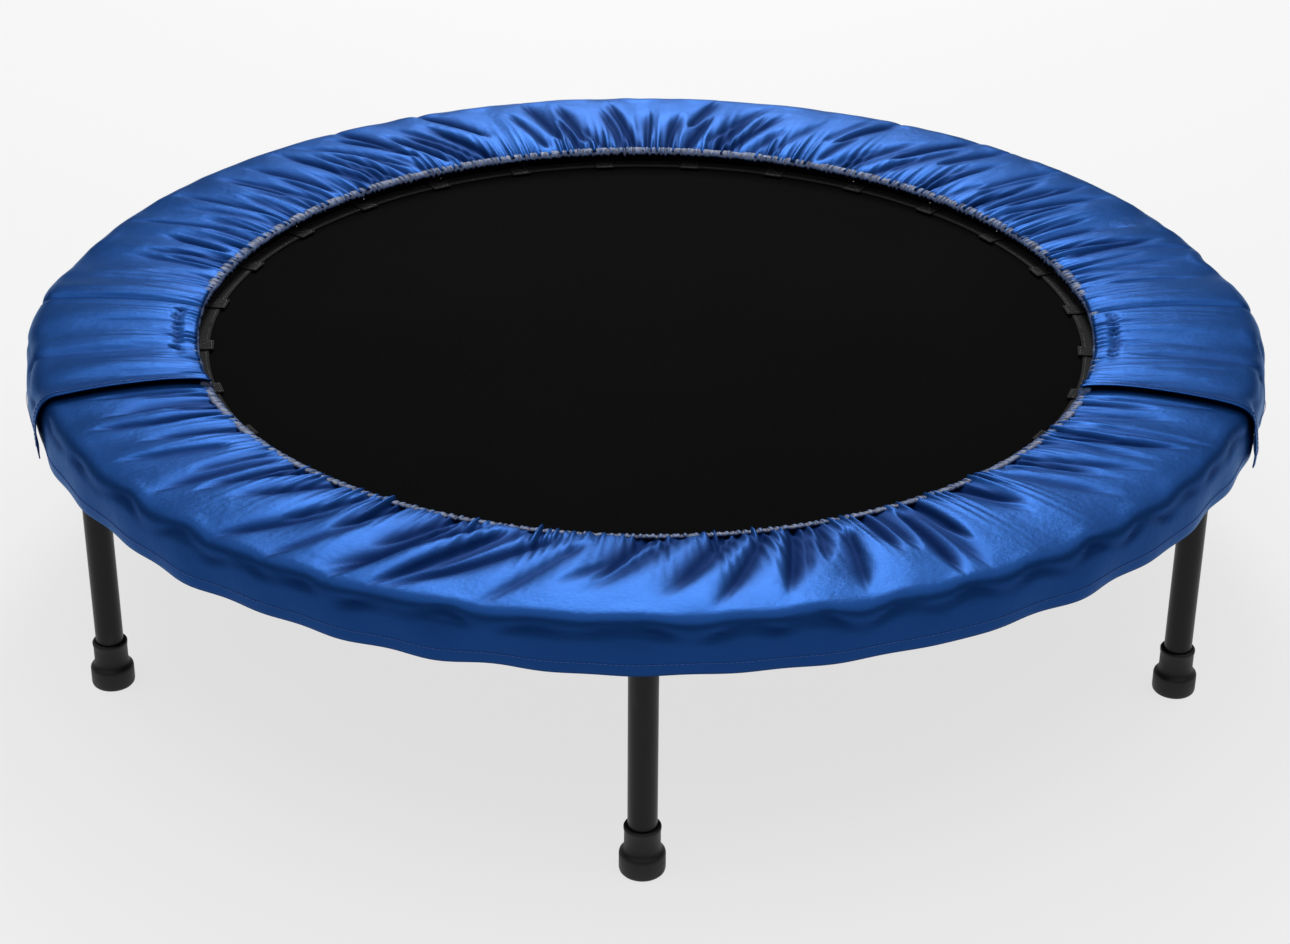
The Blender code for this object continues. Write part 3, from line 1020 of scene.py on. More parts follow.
@dataclass
class Cover:
    """The ruffled spring cover: two half rings, and two flaps that bridge the hinges."""

    thickness: float = 0.0011
    boost: float = 0.0026
    flap_lift: float = 0.0030
    flap_edge_lift: float = 0.0060
    flap_end: float = math.radians(22.2)
    flap_drop: float = 0.0028
    front_start: float = math.radians(5.3)
    fold_dent: float = 0.0022
    blend_reach: float = 0.055
    hem_width: float = 0.0100
    hem_height: float = 0.0034
    hem_tilt: float = 0.36
    hem_radius: float = 0.38
    uv_radius: float = 0.46
    # The black band under the hem is painted shade for the shaded underside of the hem.
    shade_band_section: Profile = (
        (0.3822, 0.2142), (0.3830, 0.2120), (0.3840, 0.2085), (0.3852, 0.2060), (0.3870, 0.2045),
    )
    shade_band_sag: float = 0.0058
    shade_band_bulge: float = 0.0013
    loops_per_half: int = 14
    seam_inset: float = 0.0105
    stitch: tuple[float, float, float] = (0.0026, 0.0038, 0.00055)
    stitch_lift: float = 0.00025
    stitch_colour: Point = (0.020, 0.090, 0.380)
    half_flat: tuple[float, float] = (0.185, 1.62)
    flap_flat: tuple[float, float] = (0.188, 0.190)

    def __post_init__(self) -> None:
        """Prepares the surface."""
        self.surface = CoverSurface()
        self.level = self.surface.line[0][1]

    @staticmethod
    def _from_fold(angles: Array) -> Array:
        """The angle from the fold line, whichever side is nearer."""
        turned = np.mod(angles, math.pi)
        return np.minimum(turned, math.pi - turned)

    def _over_hinge(self, angles: Array, half: Half) -> Array:
        """How far the topmost cloth lies above the plain section near the hinges.

        Args:
            angles: Angles round the ring.
            half: The half that they are on.

        Returns:
            The height: the room for the hinge's plates, and the flap's lift over the front half's cloth.
        """
        away = self._from_fold(angles)
        room = self._room_for_hinge(angles)
        if half is Half.BACK:
            return room + self.flap_lift * (1 - smoothstep(math.radians(1.5), math.radians(8.0), away))
        edge = smoothstep(self.flap_end - math.radians(3.5), self.flap_end, away)
        flap = self.flap_lift + (self.flap_edge_lift - self.flap_lift) * edge
        return room + flap * (away <= self.flap_end)

    def _room_for_hinge(self, angles: Array) -> Array:
        """The extra height over the hinge's plates."""
        return self.boost * (1 - smoothstep(math.radians(5.6), math.radians(9.5), self._from_fold(angles)))

    def _lie(self, panel: Panel, angles: Array) -> tuple[Array, Array]:
        """How a panel lies near the hinges.

        Args:
            panel: The panel.
            angles: Angles round the ring.

        Returns:
            How smooth it is, from 0 for fully creased to 1, and its height over the plain section.
        """
        away = self._from_fold(angles)
        if panel is Panel.FRONT:
            under_flap = 1 - smoothstep(self.flap_end - 0.02, self.flap_end + 0.05, away)
            return 0.8 * under_flap, self._room_for_hinge(angles)
        dent = self.fold_dent * np.exp(-((away / math.radians(0.55)) ** 2))
        if panel is Panel.BACK:
            calm = 0.75 * (1 - smoothstep(math.radians(3), math.radians(14), away))
            return calm, self._over_hinge(angles, Half.BACK) - dent
        return 0.72 + 0.08 * smoothstep(0.1, 0.3, away), self._over_hinge(angles, Half.FRONT) - dent

    def _drop(self, depth: float) -> Array:
        """How far each place along the section hangs lower when the edge hangs lower by depth."""
        lengths = self.surface.lengths
        return depth * smoothstep(self.surface.rim, lengths[-1], lengths)

    def _cloth(self, name: str, angles: Array, height: Array, crease_shade: Array, drop: float = 0.0) -> Piece:
        """Makes one closed sheet of cloth.

        Args:
            name: The piece's name.
            angles: Angles round the ring.
            height: Its height over the plain section.
            crease_shade: How much painted shade each point gets.
            drop: How much lower its outer edge hangs.

        Returns:
            The piece.
        """
        faces = [self.surface.points(angles, height - down) for down in (0.0, self.thickness)]
        for face in faces:
            face[..., 2] -= self._drop(drop)
        loft = Loft()
        loft.slab(*faces, spread(angles * self.uv_radius, self.surface.lengths), crease_shade)
        return loft.object(name)

    def _half_cloth(self, panel: Panel) -> Piece:
        """The cloth of one half. The front one's ends lie under the flaps, clear of the hinges.

        Args:
            panel: The half's panel.

        Returns:
            The piece.
        """
        if panel is Panel.FRONT:
            angles = np.linspace(math.pi + self.front_start, math.tau - self.front_start, 960)
        else:
            angles = np.linspace(0.0, math.pi, 1000)
        calm, raised = self._lie(panel, angles)
        height, crease_shade = self.surface.height(angles, calm)
        return self._cloth(f"cover_{panel.value}_cloth", angles, height + raised[:, None], crease_shade)

    def _flap(self, side: str) -> Piece:
        """One flap, from the fold line to its edge on the front half, with the slot beside its hem.

        Args:
            side: "left" or "right".

        Returns:
            The piece.
        """
        away = np.linspace(0.0, self.flap_end, 150)
        angles = math.pi + away if side == "left" else (math.tau - away)[::-1]
        calm, raised = self._lie(Panel.FLAP, angles)
        height, crease_shade = self.surface.height(angles, calm)
        length = self.surface.lengths[None]
        turned = np.degrees(self._from_fold(angles))
        crease = (np.exp(-(((turned - 12.6) / 0.7) ** 2)))[:, None] * smoothstep(0.02, 0.06, length)
        reach = smoothstep(0.8, 2.2, turned) * (1 - smoothstep(12.0, 15.5, turned))
        broken = 0.62 + 0.38 * SmoothNoise(41, 0.012, 0.396)(angles)
        winding = 0.0165 + 0.0012 * SmoothNoise(42, 0.025, 0.396)(angles)
        slot = np.exp(-(((length - winding[:, None]) / 0.0022) ** 2)) * (reach * broken)[:, None]
        height = height + raised[:, None] - 0.0016 * crease - 0.0046 * slot
        # Painted shade in the slot and along the flap's crease, added to the creases' painted shade.
        crease_shade = np.clip(crease_shade + 0.9 * slot + 0.25 * crease, 0, 1)
        return self._cloth(f"cover_flap_{side}_cloth", angles, height, crease_shade, self.flap_drop)

    def _hem(self, half: Half) -> Piece:
        """The ruffled elastic band round the inner edge of one half.

        Args:
            half: The half.

        Returns:
            The piece.
        """
        angles = np.linspace(0, math.pi, 1441) + half.value % math.tau
        ruffle = SmoothNoise(21, 0.0062, 0.38, 30)(angles)[:, None]
        slow = SmoothNoise(22, 0.030, 0.38)(angles)[:, None]
        turns = np.linspace(0, math.tau, 14, endpoint=False)
        cos = np.cos(turns)[None]
        across = cos * (self.hem_width / 2 + 0.0004 * slow)
        up = np.sin(turns)[None] * self.hem_height / 2
        up = up + 0.0011 * ruffle * (0.35 + 0.65 * np.clip(-cos, 0, 1))
        lift = self._over_hinge(angles, half)[:, None] * 0.6
        tilted_out, tilted_up = math.cos(self.hem_tilt), math.sin(self.hem_tilt)
        start = self.surface.line[0]
        radius = start[0] + 0.0020 + across * tilted_out - up * tilted_up + 0.0007 * ruffle * (cos < -0.3)
        level = start[1] - 0.0006 + across * tilted_up + up * tilted_out + lift
        loft = Loft()
        # Painted shade in the ruffles' hollows, and a little all along the band.
        crease_shade = np.clip(0.35 - 0.8 * ruffle, 0, 1) * np.ones_like(cos)
        loft.rod(polar(radius, angles, level), spread(angles * self.hem_radius, across), crease_shade)
        return loft.object(f"cover_{half.word}_hem")

    def _shade_band(self, half: Half) -> Piece:
        """A black band that hangs from the hem down to the mat's loops on one half: painted shade for the
        shaded underside of the hem and the gaps between the loops.

        Args:
            half: The half.

        Returns:
            The piece.
        """
        angles = np.linspace(0, math.pi, 1081) + half.value % math.tau
        wave = SmoothNoise(31, 0.011, 0.39, 24)(angles)[:, None]
        lift = self._over_hinge(angles, half)[:, None] * 0.6
        section = np.array(self.shade_band_section)
        side = np.concatenate([section, section[::-1] + np.array([0.0007, -0.0004])])
        down = np.linspace(0, 1, len(section))
        part = np.concatenate([down, down[::-1]])[None]
        pitch = math.pi / self.loops_per_half
        from_loop = np.abs(np.mod(angles / pitch, 1.0) - 0.5) * pitch
        between = smoothstep(0.0238, 0.0290, from_loop)[:, None] * smoothstep(0.35, 1.0, part)
        radius = side[:, 0][None] + 0.0007 * wave * np.sin(math.pi * part) + self.shade_band_bulge * between
        level = side[:, 1][None] + lift * (1 - part) - self.shade_band_sag * between
        loft = Loft()
        loft.rod(polar(radius, angles, level), spread(angles * self.hem_radius, level))
        return loft.object(f"cover_{half.word}_shade_band")

    def _seam(self, name: str, panel: Panel, angles: Array, drop: float = 0.0) -> Piece:
        """A row of stitches above the skirt's edge.

        Args:
            name: The piece's name.
            panel: The panel that is sewn.
            angles: Angles that the seam runs over.
            drop: How much lower the edge hangs.

        Returns:
            The piece.
        """
        shape = self.surface
        calm, raised = self._lie(panel, angles)
        height, _ = shape.height(angles, calm)
        row = int(np.searchsorted(shape.lengths, shape.lengths[-1] - self.seam_inset))
        line = shape.points(angles, height + raised[:, None] + self.stitch_lift)[:, row]
        line[:, 2] -= self._drop(drop)[row]
        loft = Loft()
        loft.stitches(line, *self.stitch)
        return loft.object(name)

    def _flap_edge_seam(self, side: str) -> Piece:
        """The stitches along a flap's free edge.

        Args:
            side: "left" or "right".

        Returns:
            The piece.
        """
        away = np.array([self.flap_end - 0.0125, self.flap_end - 0.0120])
        angles = math.pi + away if side == "left" else math.tau - away
        height, _ = self.surface.height(angles, np.full(2, 0.80))
        raised = self._over_hinge(angles, Half.FRONT)[:, None]
        line = self.surface.points(angles, height + raised + self.stitch_lift)[0, 3:-3]
        loft = Loft()
        loft.stitches(line, *self.stitch)
        return loft.object(f"cover_flap_{side}_edge_stitches")

    def _build_half(self, half: Half, thread: SewingThread) -> None:
        """Builds and dresses one half of the cover.

        Args:
            half: The half.
            thread: What it is sewn with.
        """
        name, panel = f"cover_{half.word}", Panel(half.word)
        cloth = dress(self._half_cloth(panel), SatinNylon(), "cover_fabric", name)
        bands = [dress(self._hem(half), ElasticHem(), "cover_fabric")]
        # The black band under the hem is painted shade for the shaded underside of the hem and the gaps between
        # the loops.
        bands.append(dress(self._shade_band(half), Webbing(), "mat_fabric"))
        if half is Half.FRONT:
            first = math.pi + self.flap_end + 0.004
            angles = np.linspace(first, math.tau - self.flap_end - 0.004, 900)
        else:
            angles = np.linspace(0.0, math.pi, 900)
        seam = dress(self._seam(f"{name}_stitches", panel, angles), thread, "cover_fabric")
        half.bend(bands, self.level, self.blend_reach)
        if half is Half.FRONT:
            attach(cloth, half.body)
            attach(seam, half.body)
        else:
            half.bend([cloth, seam], self.level, self.blend_reach)

    def _build_flap(self, side: str, thread: SewingThread) -> None:
        """Builds and dresses one flap with its stitches.

        Args:
            side: "left" or "right".
            thread: What it is sewn with.
        """
        name = f"cover_flap_{side}"
        flap = dress(self._flap(side), SatinNylon(), "cover_fabric", name)
        away = np.linspace(0.004, self.flap_end - 0.004, 120)
        angles = math.pi + away if side == "left" else math.tau - away
        skirt_seam = self._seam(f"{name}_stitches", Panel.FLAP, angles, self.flap_drop)
        seams = [skirt_seam, self._flap_edge_seam(side)]
        for seam in seams:
            dress(seam, thread, "cover_fabric")
        Half.FRONT.bend([flap, *seams], self.level, self.blend_reach)

    def build(self) -> None:
        """Builds and dresses the whole cover."""
        thread = SewingThread(self.stitch_colour)
        for half in Half:
            self._build_half(half, thread)
        for side in ("left", "right"):
            self._build_flap(side, thread)


# ---------------------------------------------------------------- the mat and its springs


@dataclass
class Mat:
    """The jumping mat with its webbing border, spring loops and V rings."""

    radius: float = 0.3860
    thickness: float = 0.0018
    level: float = 0.2010
    sag: float = 0.0006
    border_inner: float = 0.3700
    strap_start: float = 0.3660
    bar_radius: float = 0.3895
    apex: float = 0.3970
    strap_half_width: float = 0.0088
    strap_half_thickness: float = 0.0005
    ring_wire: float = 0.00125
    loops_per_half: int = 14
    blend_reach: float = 0.040
    border_stitch: tuple[float, float, float] = (0.0034, 0.0046, 0.0006)
    loop_stitch: tuple[float, float, float] = (0.0026, 0.0034, 0.0006)
    stitch_colour: Point = (0.012, 0.012, 0.0125)

    def _cloth(self, half: Half) -> Piece:
        """The woven half disc, with finer rows near the fold line.

        Args:
            half: The half.

        Returns:
            The piece.
        """
        near = np.concatenate([[0.00002], np.arange(0.002, 0.0440, 0.002)])
        far = self.radius * np.sin(np.linspace(math.asin(0.0441 / self.radius), math.pi / 2 * 0.995, 44))
        depth = np.concatenate([near, far])
        across = np.sin(np.linspace(-math.pi / 2, math.pi / 2, 75))
        x = np.sqrt(self.radius**2 - depth**2)[:, None] * across[None]
        y = np.broadcast_to(half.side * depth[:, None], x.shape)
        level = self.level - self.sag * (1 - (x**2 + y**2) / self.radius**2)
        half_thick = self.thickness / 2
        top, under = (np.stack([x, y, level + up], axis=-1) for up in (half_thick, -half_thick))
        loft = Loft()
        loft.slab(top, under, np.stack([x, y], axis=-1))
        return loft.object(f"mat_{half.word}_cloth", sharp=50)

    def _border(self, half: Half) -> Piece:
        """The webbing folded round the mat's edge.

        Args:
            half: The half.

        Returns:
            The piece.
        """
        angles = half.angles(361, 0.0006)
        inner, outer = self.border_inner, self.radius
        lip, up = outer + 0.0009, self.thickness / 2 + 0.0011
        radius, level = np.array([
            (inner, -up + 0.0009), (inner, -up), (outer, -up), (lip, -up / 2), (lip, up / 2), (outer, up),
            (inner, up), (inner, up - 0.0009), (outer - 0.001, up - 0.0010), (outer - 0.001, -up + 0.0010),
        ]).T
        loft = Loft()
        loft.rod(polar(radius, angles, self.level + level), spread(angles * self.radius, radius))
        return loft.object(f"mat_{half.word}_border", sharp=40)

    def _border_seams(self, half: Half) -> Piece:
        """Two rows of stitches through the border, seen above and below.

        Args:
            half: The half.

        Returns:
            The piece.
        """
        loft = Loft()
        angles = half.angles(400, 0.012)
        for radius in (self.border_inner + 0.0025, self.border_inner + 0.0125):
            for side in (1, -1):
                level = self.level + side * (self.thickness / 2 + 0.0012)
                ring = polar(np.array([radius]), angles, np.array([level]))
                loft.stitches(ring[:, 0], *self.border_stitch)
        return loft.object(f"mat_{half.word}_border_stitches")

    def _loops(self, half: Half) -> Piece:
        """Webbing loops sewn to the mat, each folded round the bar of its ring.

        Args:
            half: The half.

        Returns:
            The piece.
        """
        hold = self.ring_wire + 0.0007
        clear = self.thickness / 2 + 0.0018
        edge = self.radius - 0.001
        turn = np.linspace(-math.pi / 2, math.pi / 2, 9)
        bend = [(self.bar_radius + hold * math.cos(a), hold * math.sin(a)) for a in turn]
        start = self.strap_start
        line = np.array([(start, -clear), (edge, -clear), *bend, (edge, clear), (start, clear)])
        widths = np.linspace(-self.strap_half_width, self.strap_half_width, 7)
        uv = spread(lengths_along(line), widths)
        faces = []
        for shift in (-self.strap_half_thickness, self.strap_half_thickness):
            place = line + sideways(line) * shift
            heights = self.level + place[:, 1][:, None]
            faces.append(np.insert(spread(place[:, 0], widths), 2, heights, axis=-1))
        loft = Loft()
        for angle in half.middles(self.loops_per_half):
            loft.slab(*(turn_about_z(face, angle) for face in faces), uv)
        return loft.object(f"mat_{half.word}_loops", sharp=45)

    def _loop_seams(self, half: Half) -> Piece:
        """A box of stitches on each loop, above and below.

        Args:
            half: The half.

        Returns:
            The piece.
        """
        loft = Loft()
        clear = self.thickness / 2 + 0.0024
        side = self.strap_half_width - 0.002
        near, far = self.strap_start + 0.002, self.radius - 0.002
        box = np.array([(near, -side), (far, -side), (far, side), (near, side), (near, -side), (far, side)])
        fine = np.concatenate([np.linspace(a, b, 8) for a, b in zip(box, box[1:])])
        for angle in half.middles(self.loops_per_half):
            for level in (clear, -clear):
                line = np.column_stack([fine, np.full(len(fine), self.level + level)])
                loft.stitches(turn_about_z(line, angle), *self.loop_stitch)
        return loft.object(f"mat_{half.word}_loop_stitches")

    def _rings(self, half: Half) -> Piece:
        """The V rings that join the loops to the springs.

        Args:
            half: The half.

        Returns:
            The piece.
        """
        bar, apex, wide, steps = self.bar_radius, self.apex, self.strap_half_width + 0.0012, 5
        corners = np.array([
            (bar, -wide), (bar, 0.0), (bar, wide), (bar + 0.0032, wide - 0.0012),
            (apex - 0.0006, 0.0026), (apex, 0.0), (apex - 0.0006, -0.0026), (bar + 0.0032, -wide + 0.0012),
        ])
        flat = np.insert(corners, 2, self.level, axis=1)
        path = rounded_line(np.vstack([flat[-1:], flat, flat[:2]]), steps)[steps:steps + steps * len(flat)]
        loft = Loft()
        for angle in half.middles(self.loops_per_half):
            loft.tube(turn_about_z(path, angle), self.ring_wire, 8, closed=True)
        return loft.object(f"mat_{half.word}_rings")

    def build(self) -> None:
        """Builds and dresses both halves of the mat."""
        thread = SewingThread(self.stitch_colour)
        for half in Half:
            cloth = dress(self._cloth(half), WovenMat(), "mat_fabric", f"mat_{half.word}")
            border = dress(self._border(half), Webbing(), "mat_fabric")
            border_seams = dress(self._border_seams(half), thread, "mat_fabric")
            loop_seams = dress(self._loop_seams(half), thread, "mat_fabric")
            loops = dress(self._loops(half), Webbing(), "mat_fabric")
            rings = dress(self._rings(half), ZincPlate(), "zinc_steel")
            half.bend([cloth, border, border_seams], self.level, self.blend_reach)
            for piece in (loop_seams, loops, rings):
                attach(piece, half.body)


@dataclass
class Springs:
    """The 28 extension springs between the mat's rings and the frame tube."""

    level: float = 0.2010
    per_half: int = 14
    wire: float = 0.0011
    wire_sides: int = 7
    coil: float = 0.0044
    start: float = 0.4050
    end: float = 0.4670
    turns: int = 26
    wall: float = 0.4826
    points_per_turn: int = 12
    hook: Profile = (
        (0.4000, -0.0042), (0.3972, -0.0040), (0.3945, -0.0022), (0.3938, 0.0010),
        (0.3955, 0.0038), (0.3990, 0.0046), (0.4025, 0.0044),
    )

    def _path(self) -> Array:
        """The wire's centreline along +X, from the hook in the ring to the hook in the tube's wall.

        Returns:
            Its points.
        """
        t = np.linspace(0, 1, self.turns * self.points_per_turn + 1)
        angle = math.pi / 2 + math.tau * self.turns * t
        along = self.start + (self.end - self.start) * t
        helix = np.stack([along, self.coil * np.cos(angle), self.coil * np.sin(angle)], axis=1)
        wall = self.wall
        tail = [
            (self.end + 0.0020, 0.0010), (self.end + 0.0045, 0.0), (wall, 0.0), (wall + 0.0040, 0.0006),
            (wall + 0.0075, 0.0034), (wall + 0.0086, 0.0075),
        ]
        ahead, behind = (rounded_line([(x, 0.0, z) for x, z in line], 5) for line in (self.hook, tail))
        return np.vstack([ahead, helix, behind]) + (0.0, 0.0, self.level)

    def build(self) -> None:
        """Builds and dresses every spring."""
        path = self._path()
        for half in Half:
            for number, angle in enumerate(half.middles(self.per_half), 1):
                name = f"spring_{half.word}_{number:02d}"
                loft = Loft()
                loft.tube(turn_about_z(path, angle), self.wire, self.wire_sides)
                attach(dress(loft.object(f"{name}_coil"), ZincPlate(), "zinc_steel", name), half.body)


# ---------------------------------------------------------------- the frame, hinges and legs


@dataclass
class Frame:
    """The two half rings of steel tube with the welded bosses and studs for the legs."""

    radius: float = 0.4953
    tube: float = 0.0127
    wall: float = 0.0015
    level: float = 0.2040
    end_gap: float = 0.0195
    boss_radius: float = 0.0080
    boss_bottom: float = 0.1885
    stud_radius: float = 0.0040
    stud_length: float = 0.0240
    thread_pitch: float = 0.00125
    thread_depth: float = 0.0006
    studs_per_half: int = 3

    def _tube(self, half: Half) -> Piece:
        """One half ring: a hollow tube with open ends.

        Args:
            half: The half.

        Returns:
            The piece.
        """
        angles = half.angles(241, math.asin(self.end_gap / self.radius))
        turns = np.linspace(0, math.tau, 32, endpoint=False)
        loft = Loft()
        walls = []
        for radius in (self.tube, self.tube - self.wall):
            points = polar(self.radius + radius * np.cos(turns), angles, self.level + radius * np.sin(turns))
            walls.append(loft.grid(points, close_columns=True))
        for end in (0, -1):
            loft.join(walls[0][end], walls[1][end], closed=True)
        return loft.object(f"frame_{half.word}_tube", sharp=50)

    def _studs(self, half: Half) -> Piece:
        """The welded bosses and threaded studs of one half.

        Args:
            half: The half.

        Returns:
            The piece.
        """
        boss, bottom, stud = self.boss_radius, self.boss_bottom, self.stud_radius
        end = bottom - self.stud_length
        profile: list[tuple[float, float]] = [
            (boss + 0.0016, self.level - self.tube + 0.0030), (boss + 0.0004, bottom + 0.0022),
            (boss, bottom + 0.0005), (boss - 0.0005, bottom), (stud, bottom),
        ]
        height = bottom - 0.0020
        while height > end + 0.0015:
            profile += [(stud, height), (stud - self.thread_depth, height - self.thread_pitch / 2)]
            height -= self.thread_pitch
        profile.append((stud - 0.0010, end))
        loft = Loft()
        for angle in half.middles(self.studs_per_half):
            place = Matrix.Rotation(angle, 4, "Z") @ Matrix.Translation((self.radius, 0, 0))
            loft.turned(profile, 24, place, capped=True)
        return loft.object(f"frame_{half.word}_studs", sharp=35)

    def build(self) -> None:
        """Builds and dresses both halves."""
        for half in Half:
            tube = dress(self._tube(half), BlackPaint(), "painted_steel", f"frame_{half.word}")
            studs = dress(self._studs(half), ZincPlate(), "zinc_steel")
            for piece in (tube, studs):
                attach(piece, half.body)


@dataclass
class Hinges:
    """The two U channels at the ends of the fold line, each with a riveted pin for each half."""

    centre: float = 0.4939
    half_width: float = 0.0144
    plate: float = 0.0025
    pin_offset: float = 0.0320
    level: float = 0.2040
    pin: float = 0.0040
    head: float = 0.0070
    head_height: float = 0.0028
    head_gap: float = 0.0003
    edge: float = 0.0006
    pin_zinc: Point = (0.70, 0.71, 0.73)

    def _pin(self, side: float, toward: float, name: str) -> Piece:
        """A pin with a domed head at each end.

        Args:
            side: -1 on the left and 1 on the right.
            toward: -1 for the front half and 1 for the back half.
            name: The piece's name.

        Returns:
            The piece.
        """
        pin, head = self.pin, self.head
        cheek = self.half_width + self.plate + self.head_gap
        top = cheek + self.head_height
        end = [
            (pin, 0.0), (pin, cheek), (head - 0.0003, cheek), (head, cheek + 0.0004),
            (head - 0.0004, top - 0.0012), (head - 0.0018, top - 0.0003), (0.0030, top), (0.0008, top),
        ]
        profile = [(radius, -height) for radius, height in end[::-1]] + end[1:]
        place = Matrix.Translation((side * self.centre, toward * self.pin_offset, self.level))
        loft = Loft()
        loft.turned(profile, 32, place @ Matrix.Rotation(math.pi / 2, 4, "Y"), capped=True)
        return loft.object(name, sharp=35)

    def _dress_channel(self, channel: Piece) -> None:
        """Rounds a channel's edges and plates it.

        Args:
            channel: The frame's own object.
        """
        bevel = channel.modifiers.new("worn_edges", "BEVEL")
        bevel.width = self.edge
        bevel.segments = 2
        bevel.limit_method = "ANGLE"
        bevel.angle_limit = math.radians(40)
        for material_slot in channel.material_slots:
            material_slot.link = "OBJECT"
            material_slot.material = ZincPlate().material(channel.name)
        LOG.info("%s: bevelled and dressed", channel.name)

    def build(self) -> None:
        """Bevels and dresses the channels, and builds the pins."""
        for word, side in (("left", -1.0), ("right", 1.0)):
            self._dress_channel(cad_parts[f"hinge_bracket_{word}"])
            for half in Half:
                name = f"hinge_pin_{word}_{half.word}"
                pin = self._pin(side, half.side, f"{name}_rivet")
                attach(dress(pin, ZincPlate(bright=self.pin_zinc), "zinc_steel", name), FIXED_BODY)


@dataclass
class Legs:
    """The six screw-on legs: a steel tube, a rubber foot and a washer each."""

    ring: float = 0.4953
    radius: float = 0.0110
    bore: float = 0.0044
    insert: float = 0.0280
    wall: float = 0.0012
    sole: float = 0.0058
    sole_hole: float = 0.0030
    foot: float = 0.0172
    cuff: float = 0.0138
    base_height: float = 0.0190
    foot_height: float = 0.0400
    washer_radius: float = 0.0105
    washer_edge: float = 0.0004
    sides: int = 48
    sharp: float = 35.0

    def _tube_profile(self, top: float) -> Profile:
        """The leg tube with its threaded plug.

        Args:
            top: The height of its upper end.

        Returns:
            The profile.
        """
        inside, low, chamfer = self.radius - self.wall, self.sole + 0.0002, 0.0006
        return [
            (self.radius - chamfer, top), (self.radius, top - chamfer), (self.radius, low),
            (inside, low), (inside, top - self.insert), (self.bore, top - self.insert),
            (self.bore, top - chamfer), (self.bore + chamfer, top),
        ]

    def _foot_profile(self) -> Profile:
        """The moulded foot: ringed sole, bulging base, groove and rolled cuff.

        Returns:
            The profile.
        """
        base, cuff, hole, bore = self.foot, self.cuff, self.sole_hole, self.radius + 0.0006
        low, high = self.base_height, self.foot_height
        return [
            (hole, 0.0012), (0.0040, 0.0), (0.0070, 0.0), (0.0078, 0.0012), (0.0092, 0.0012), (0.0100, 0.0),
            (base - 0.0030, 0.0), (base - 0.0014, 0.0004), (base - 0.0004, 0.0016), (base, 0.0034),
            (base, low - 0.0036), (base - 0.0003, low - 0.0022), (base - 0.0012, low - 0.0010),
            (base - 0.0024, low), (cuff + 0.0004, low + 0.0010), (cuff - 0.0002, low + 0.0024),
            (cuff - 0.0004, low + 0.0060), (cuff - 0.0004, high - 0.0040), (cuff, high - 0.0034),
            (cuff + 0.0001, high - 0.0012), (cuff - 0.0004, high - 0.0003), (cuff - 0.0010, high),
            (bore, high), (bore, self.sole), (hole, self.sole),
        ]

    def _washer_profile(self, low: float, high: float) -> Profile:
        """A flat washer with worn outer edges.

        Args:
            low: The height of its lower face.
            high: The height of its upper face.

        Returns:
            The profile.
        """
        outer, worn = self.washer_radius, self.washer_radius - self.washer_edge
        return [
            (self.bore, low), (worn, low), (outer, low + 0.0003), (outer, high - 0.0003), (worn, high),
            (self.bore, high),
        ]

    def build(self) -> None:
        """Builds and dresses every leg."""
        places = {
            "front_left": 210, "front": 270, "front_right": 330, "back_right": 30, "back": 90, "back_left": 150,
        }
        for word, degrees in places.items():
            low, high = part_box(f"leg_washer_{word}")
            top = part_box(f"leg_tube_{word}")[1][2]
            washer = self._washer_profile(low[2], high[2])
            made = (
                (f"leg_washer_{word}", washer, ZincPlate(), "zinc_steel", f"leg_{word}_lift"),
                (f"leg_tube_{word}", self._tube_profile(top), BlackPaint(), "painted_steel", f"leg_{word}"),
                (f"leg_foot_{word}", self._foot_profile(), MouldedRubber(), "rubber", f"leg_{word}"),
            )
            place = Matrix.Rotation(math.radians(degrees), 4, "Z")
            for node, profile, finish, slot, body in made:
                loft = Loft()
                loft.turned(profile, self.sides, place @ Matrix.Translation((self.ring, 0, 0)))
                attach(dress(loft.object(f"{node}_part", sharp=self.sharp), finish, slot, node), body)


# ---------------------------------------------------------------- studio


@dataclass(frozen=True)
class SoftLight:
    """A soft rectangular light."""

    name: str
    place: Point
    aim: Point
    size: tuple[float, float]
    watts: float

    def build(self) -> None:
        """Hangs the light and aims it."""
        data = bpy.data.lights.new(self.name, "AREA")
        data.shape = "RECTANGLE"
        data.size, data.size_y = self.size
        data.energy = self.watts
        lamp = bpy.data.objects.new(self.name, data)
        lamp.location = self.place
        lamp.rotation_euler = (Vector(self.aim) - Vector(self.place)).to_track_quat("-Z", "Y").to_euler()
        bpy.context.collection.objects.link(lamp)


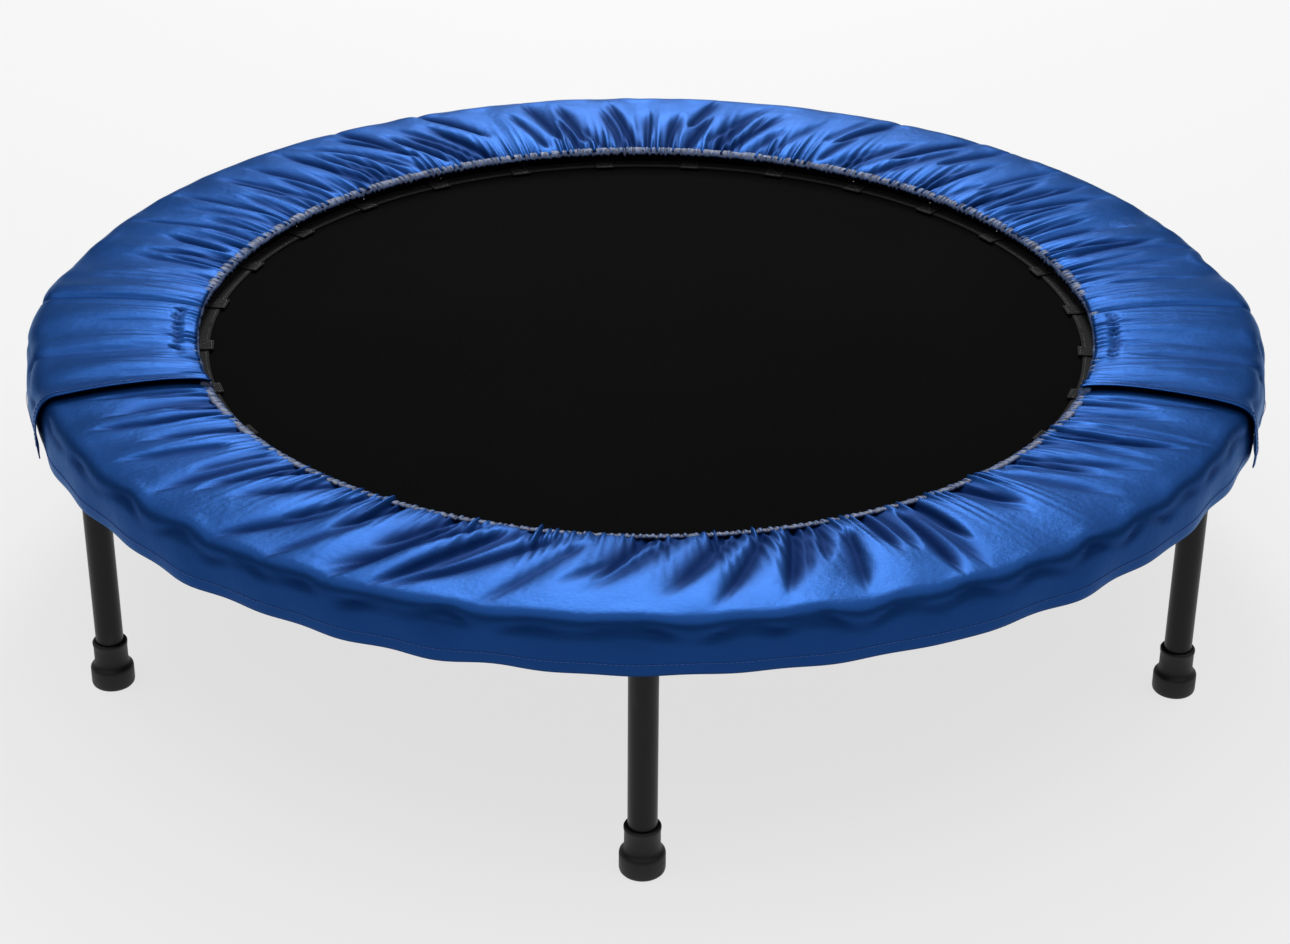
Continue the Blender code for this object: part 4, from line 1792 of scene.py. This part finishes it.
@dataclass
class Studio:
    """The pale floor, the soft lights and the camera."""

    camera_place: Point = (0.0, -2.1024, 1.1904)
    pitch_down: float = math.radians(28.198)
    roll: float = 0.00705
    lens: float = 75.68
    floor_size: float = 30.0
    world_light: float = 0.18
    lights: Sequence[SoftLight] = (
        SoftLight("sheen_panel", (0.0, 3.0, 2.5), (0.0, 0.0, 0.2), (1.0, 2.4), 100.0),
        SoftLight("overhead_panel", (0.0, 0.2, 4.0), (0.0, 0.0, 0.0), (7.5, 7.5), 235.0),
    )

    def _floor(self) -> None:
        """Lays a large plain floor."""
        side = np.linspace(-self.floor_size / 2, self.floor_size / 2, 5)
        loft = Loft()
        loft.grid(np.insert(spread(side, side), 2, 0.0, axis=-1))
        floor = loft.object("studio_floor")
        floor.data.materials.append(StudioFloor().material("studio_floor"))
        floor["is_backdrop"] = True

    def _camera(self) -> None:
        """Sets the camera up at the object's portrait angle."""
        data = bpy.data.cameras.new("camera")
        data.lens = self.lens
        data.sensor_width = 36.0
        camera = bpy.data.objects.new("camera", data)
        tilt = Matrix.Rotation(math.pi / 2 - self.pitch_down, 4, "X") @ Matrix.Rotation(self.roll, 4, "Z")
        camera.matrix_world = Matrix.Translation(self.camera_place) @ tilt
        bpy.context.collection.objects.link(camera)
        bpy.context.scene.camera = camera

    def build(self) -> None:
        """Sets the whole studio up."""
        self._floor()
        for light in self.lights:
            light.build()
        world = bpy.data.worlds.new("studio")
        world.use_nodes = True
        background = world.node_tree.nodes["Background"]
        background.inputs["Color"].default_value = (1.0, 1.0, 1.0, 1.0)
        background.inputs["Strength"].default_value = self.world_light
        bpy.context.scene.world = world
        bpy.context.scene.view_settings.view_transform = "Standard"
        self._camera()


def write_sizes(cad: Sequence[Point], visual: Sequence[Point]) -> None:
    """Puts the CAD box and the visual model's box into a table, which is not kept.

    Args:
        cad: The CAD box's lowest and highest corner.
        visual: The visual model's lowest and highest corner.
    """
    named = {"cad": cad, "visual": visual}
    boxes = {name: [[float(v) for v in corner] for corner in box] for name, box in named.items()}


def main() -> None:
    """Builds the studio and every sub-assembly in order."""
    logging.basicConfig(level=logging.INFO, format="%(name)s: %(message)s")
    for part in (Studio(), Frame(), Hinges(), Legs(), Springs(), Mat(), Cover()):
        part.build()
        LOG.info("%s done", type(part).__name__)
    write_sizes(CAD_BOX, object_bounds())


if __name__ == "__main__":
    main()
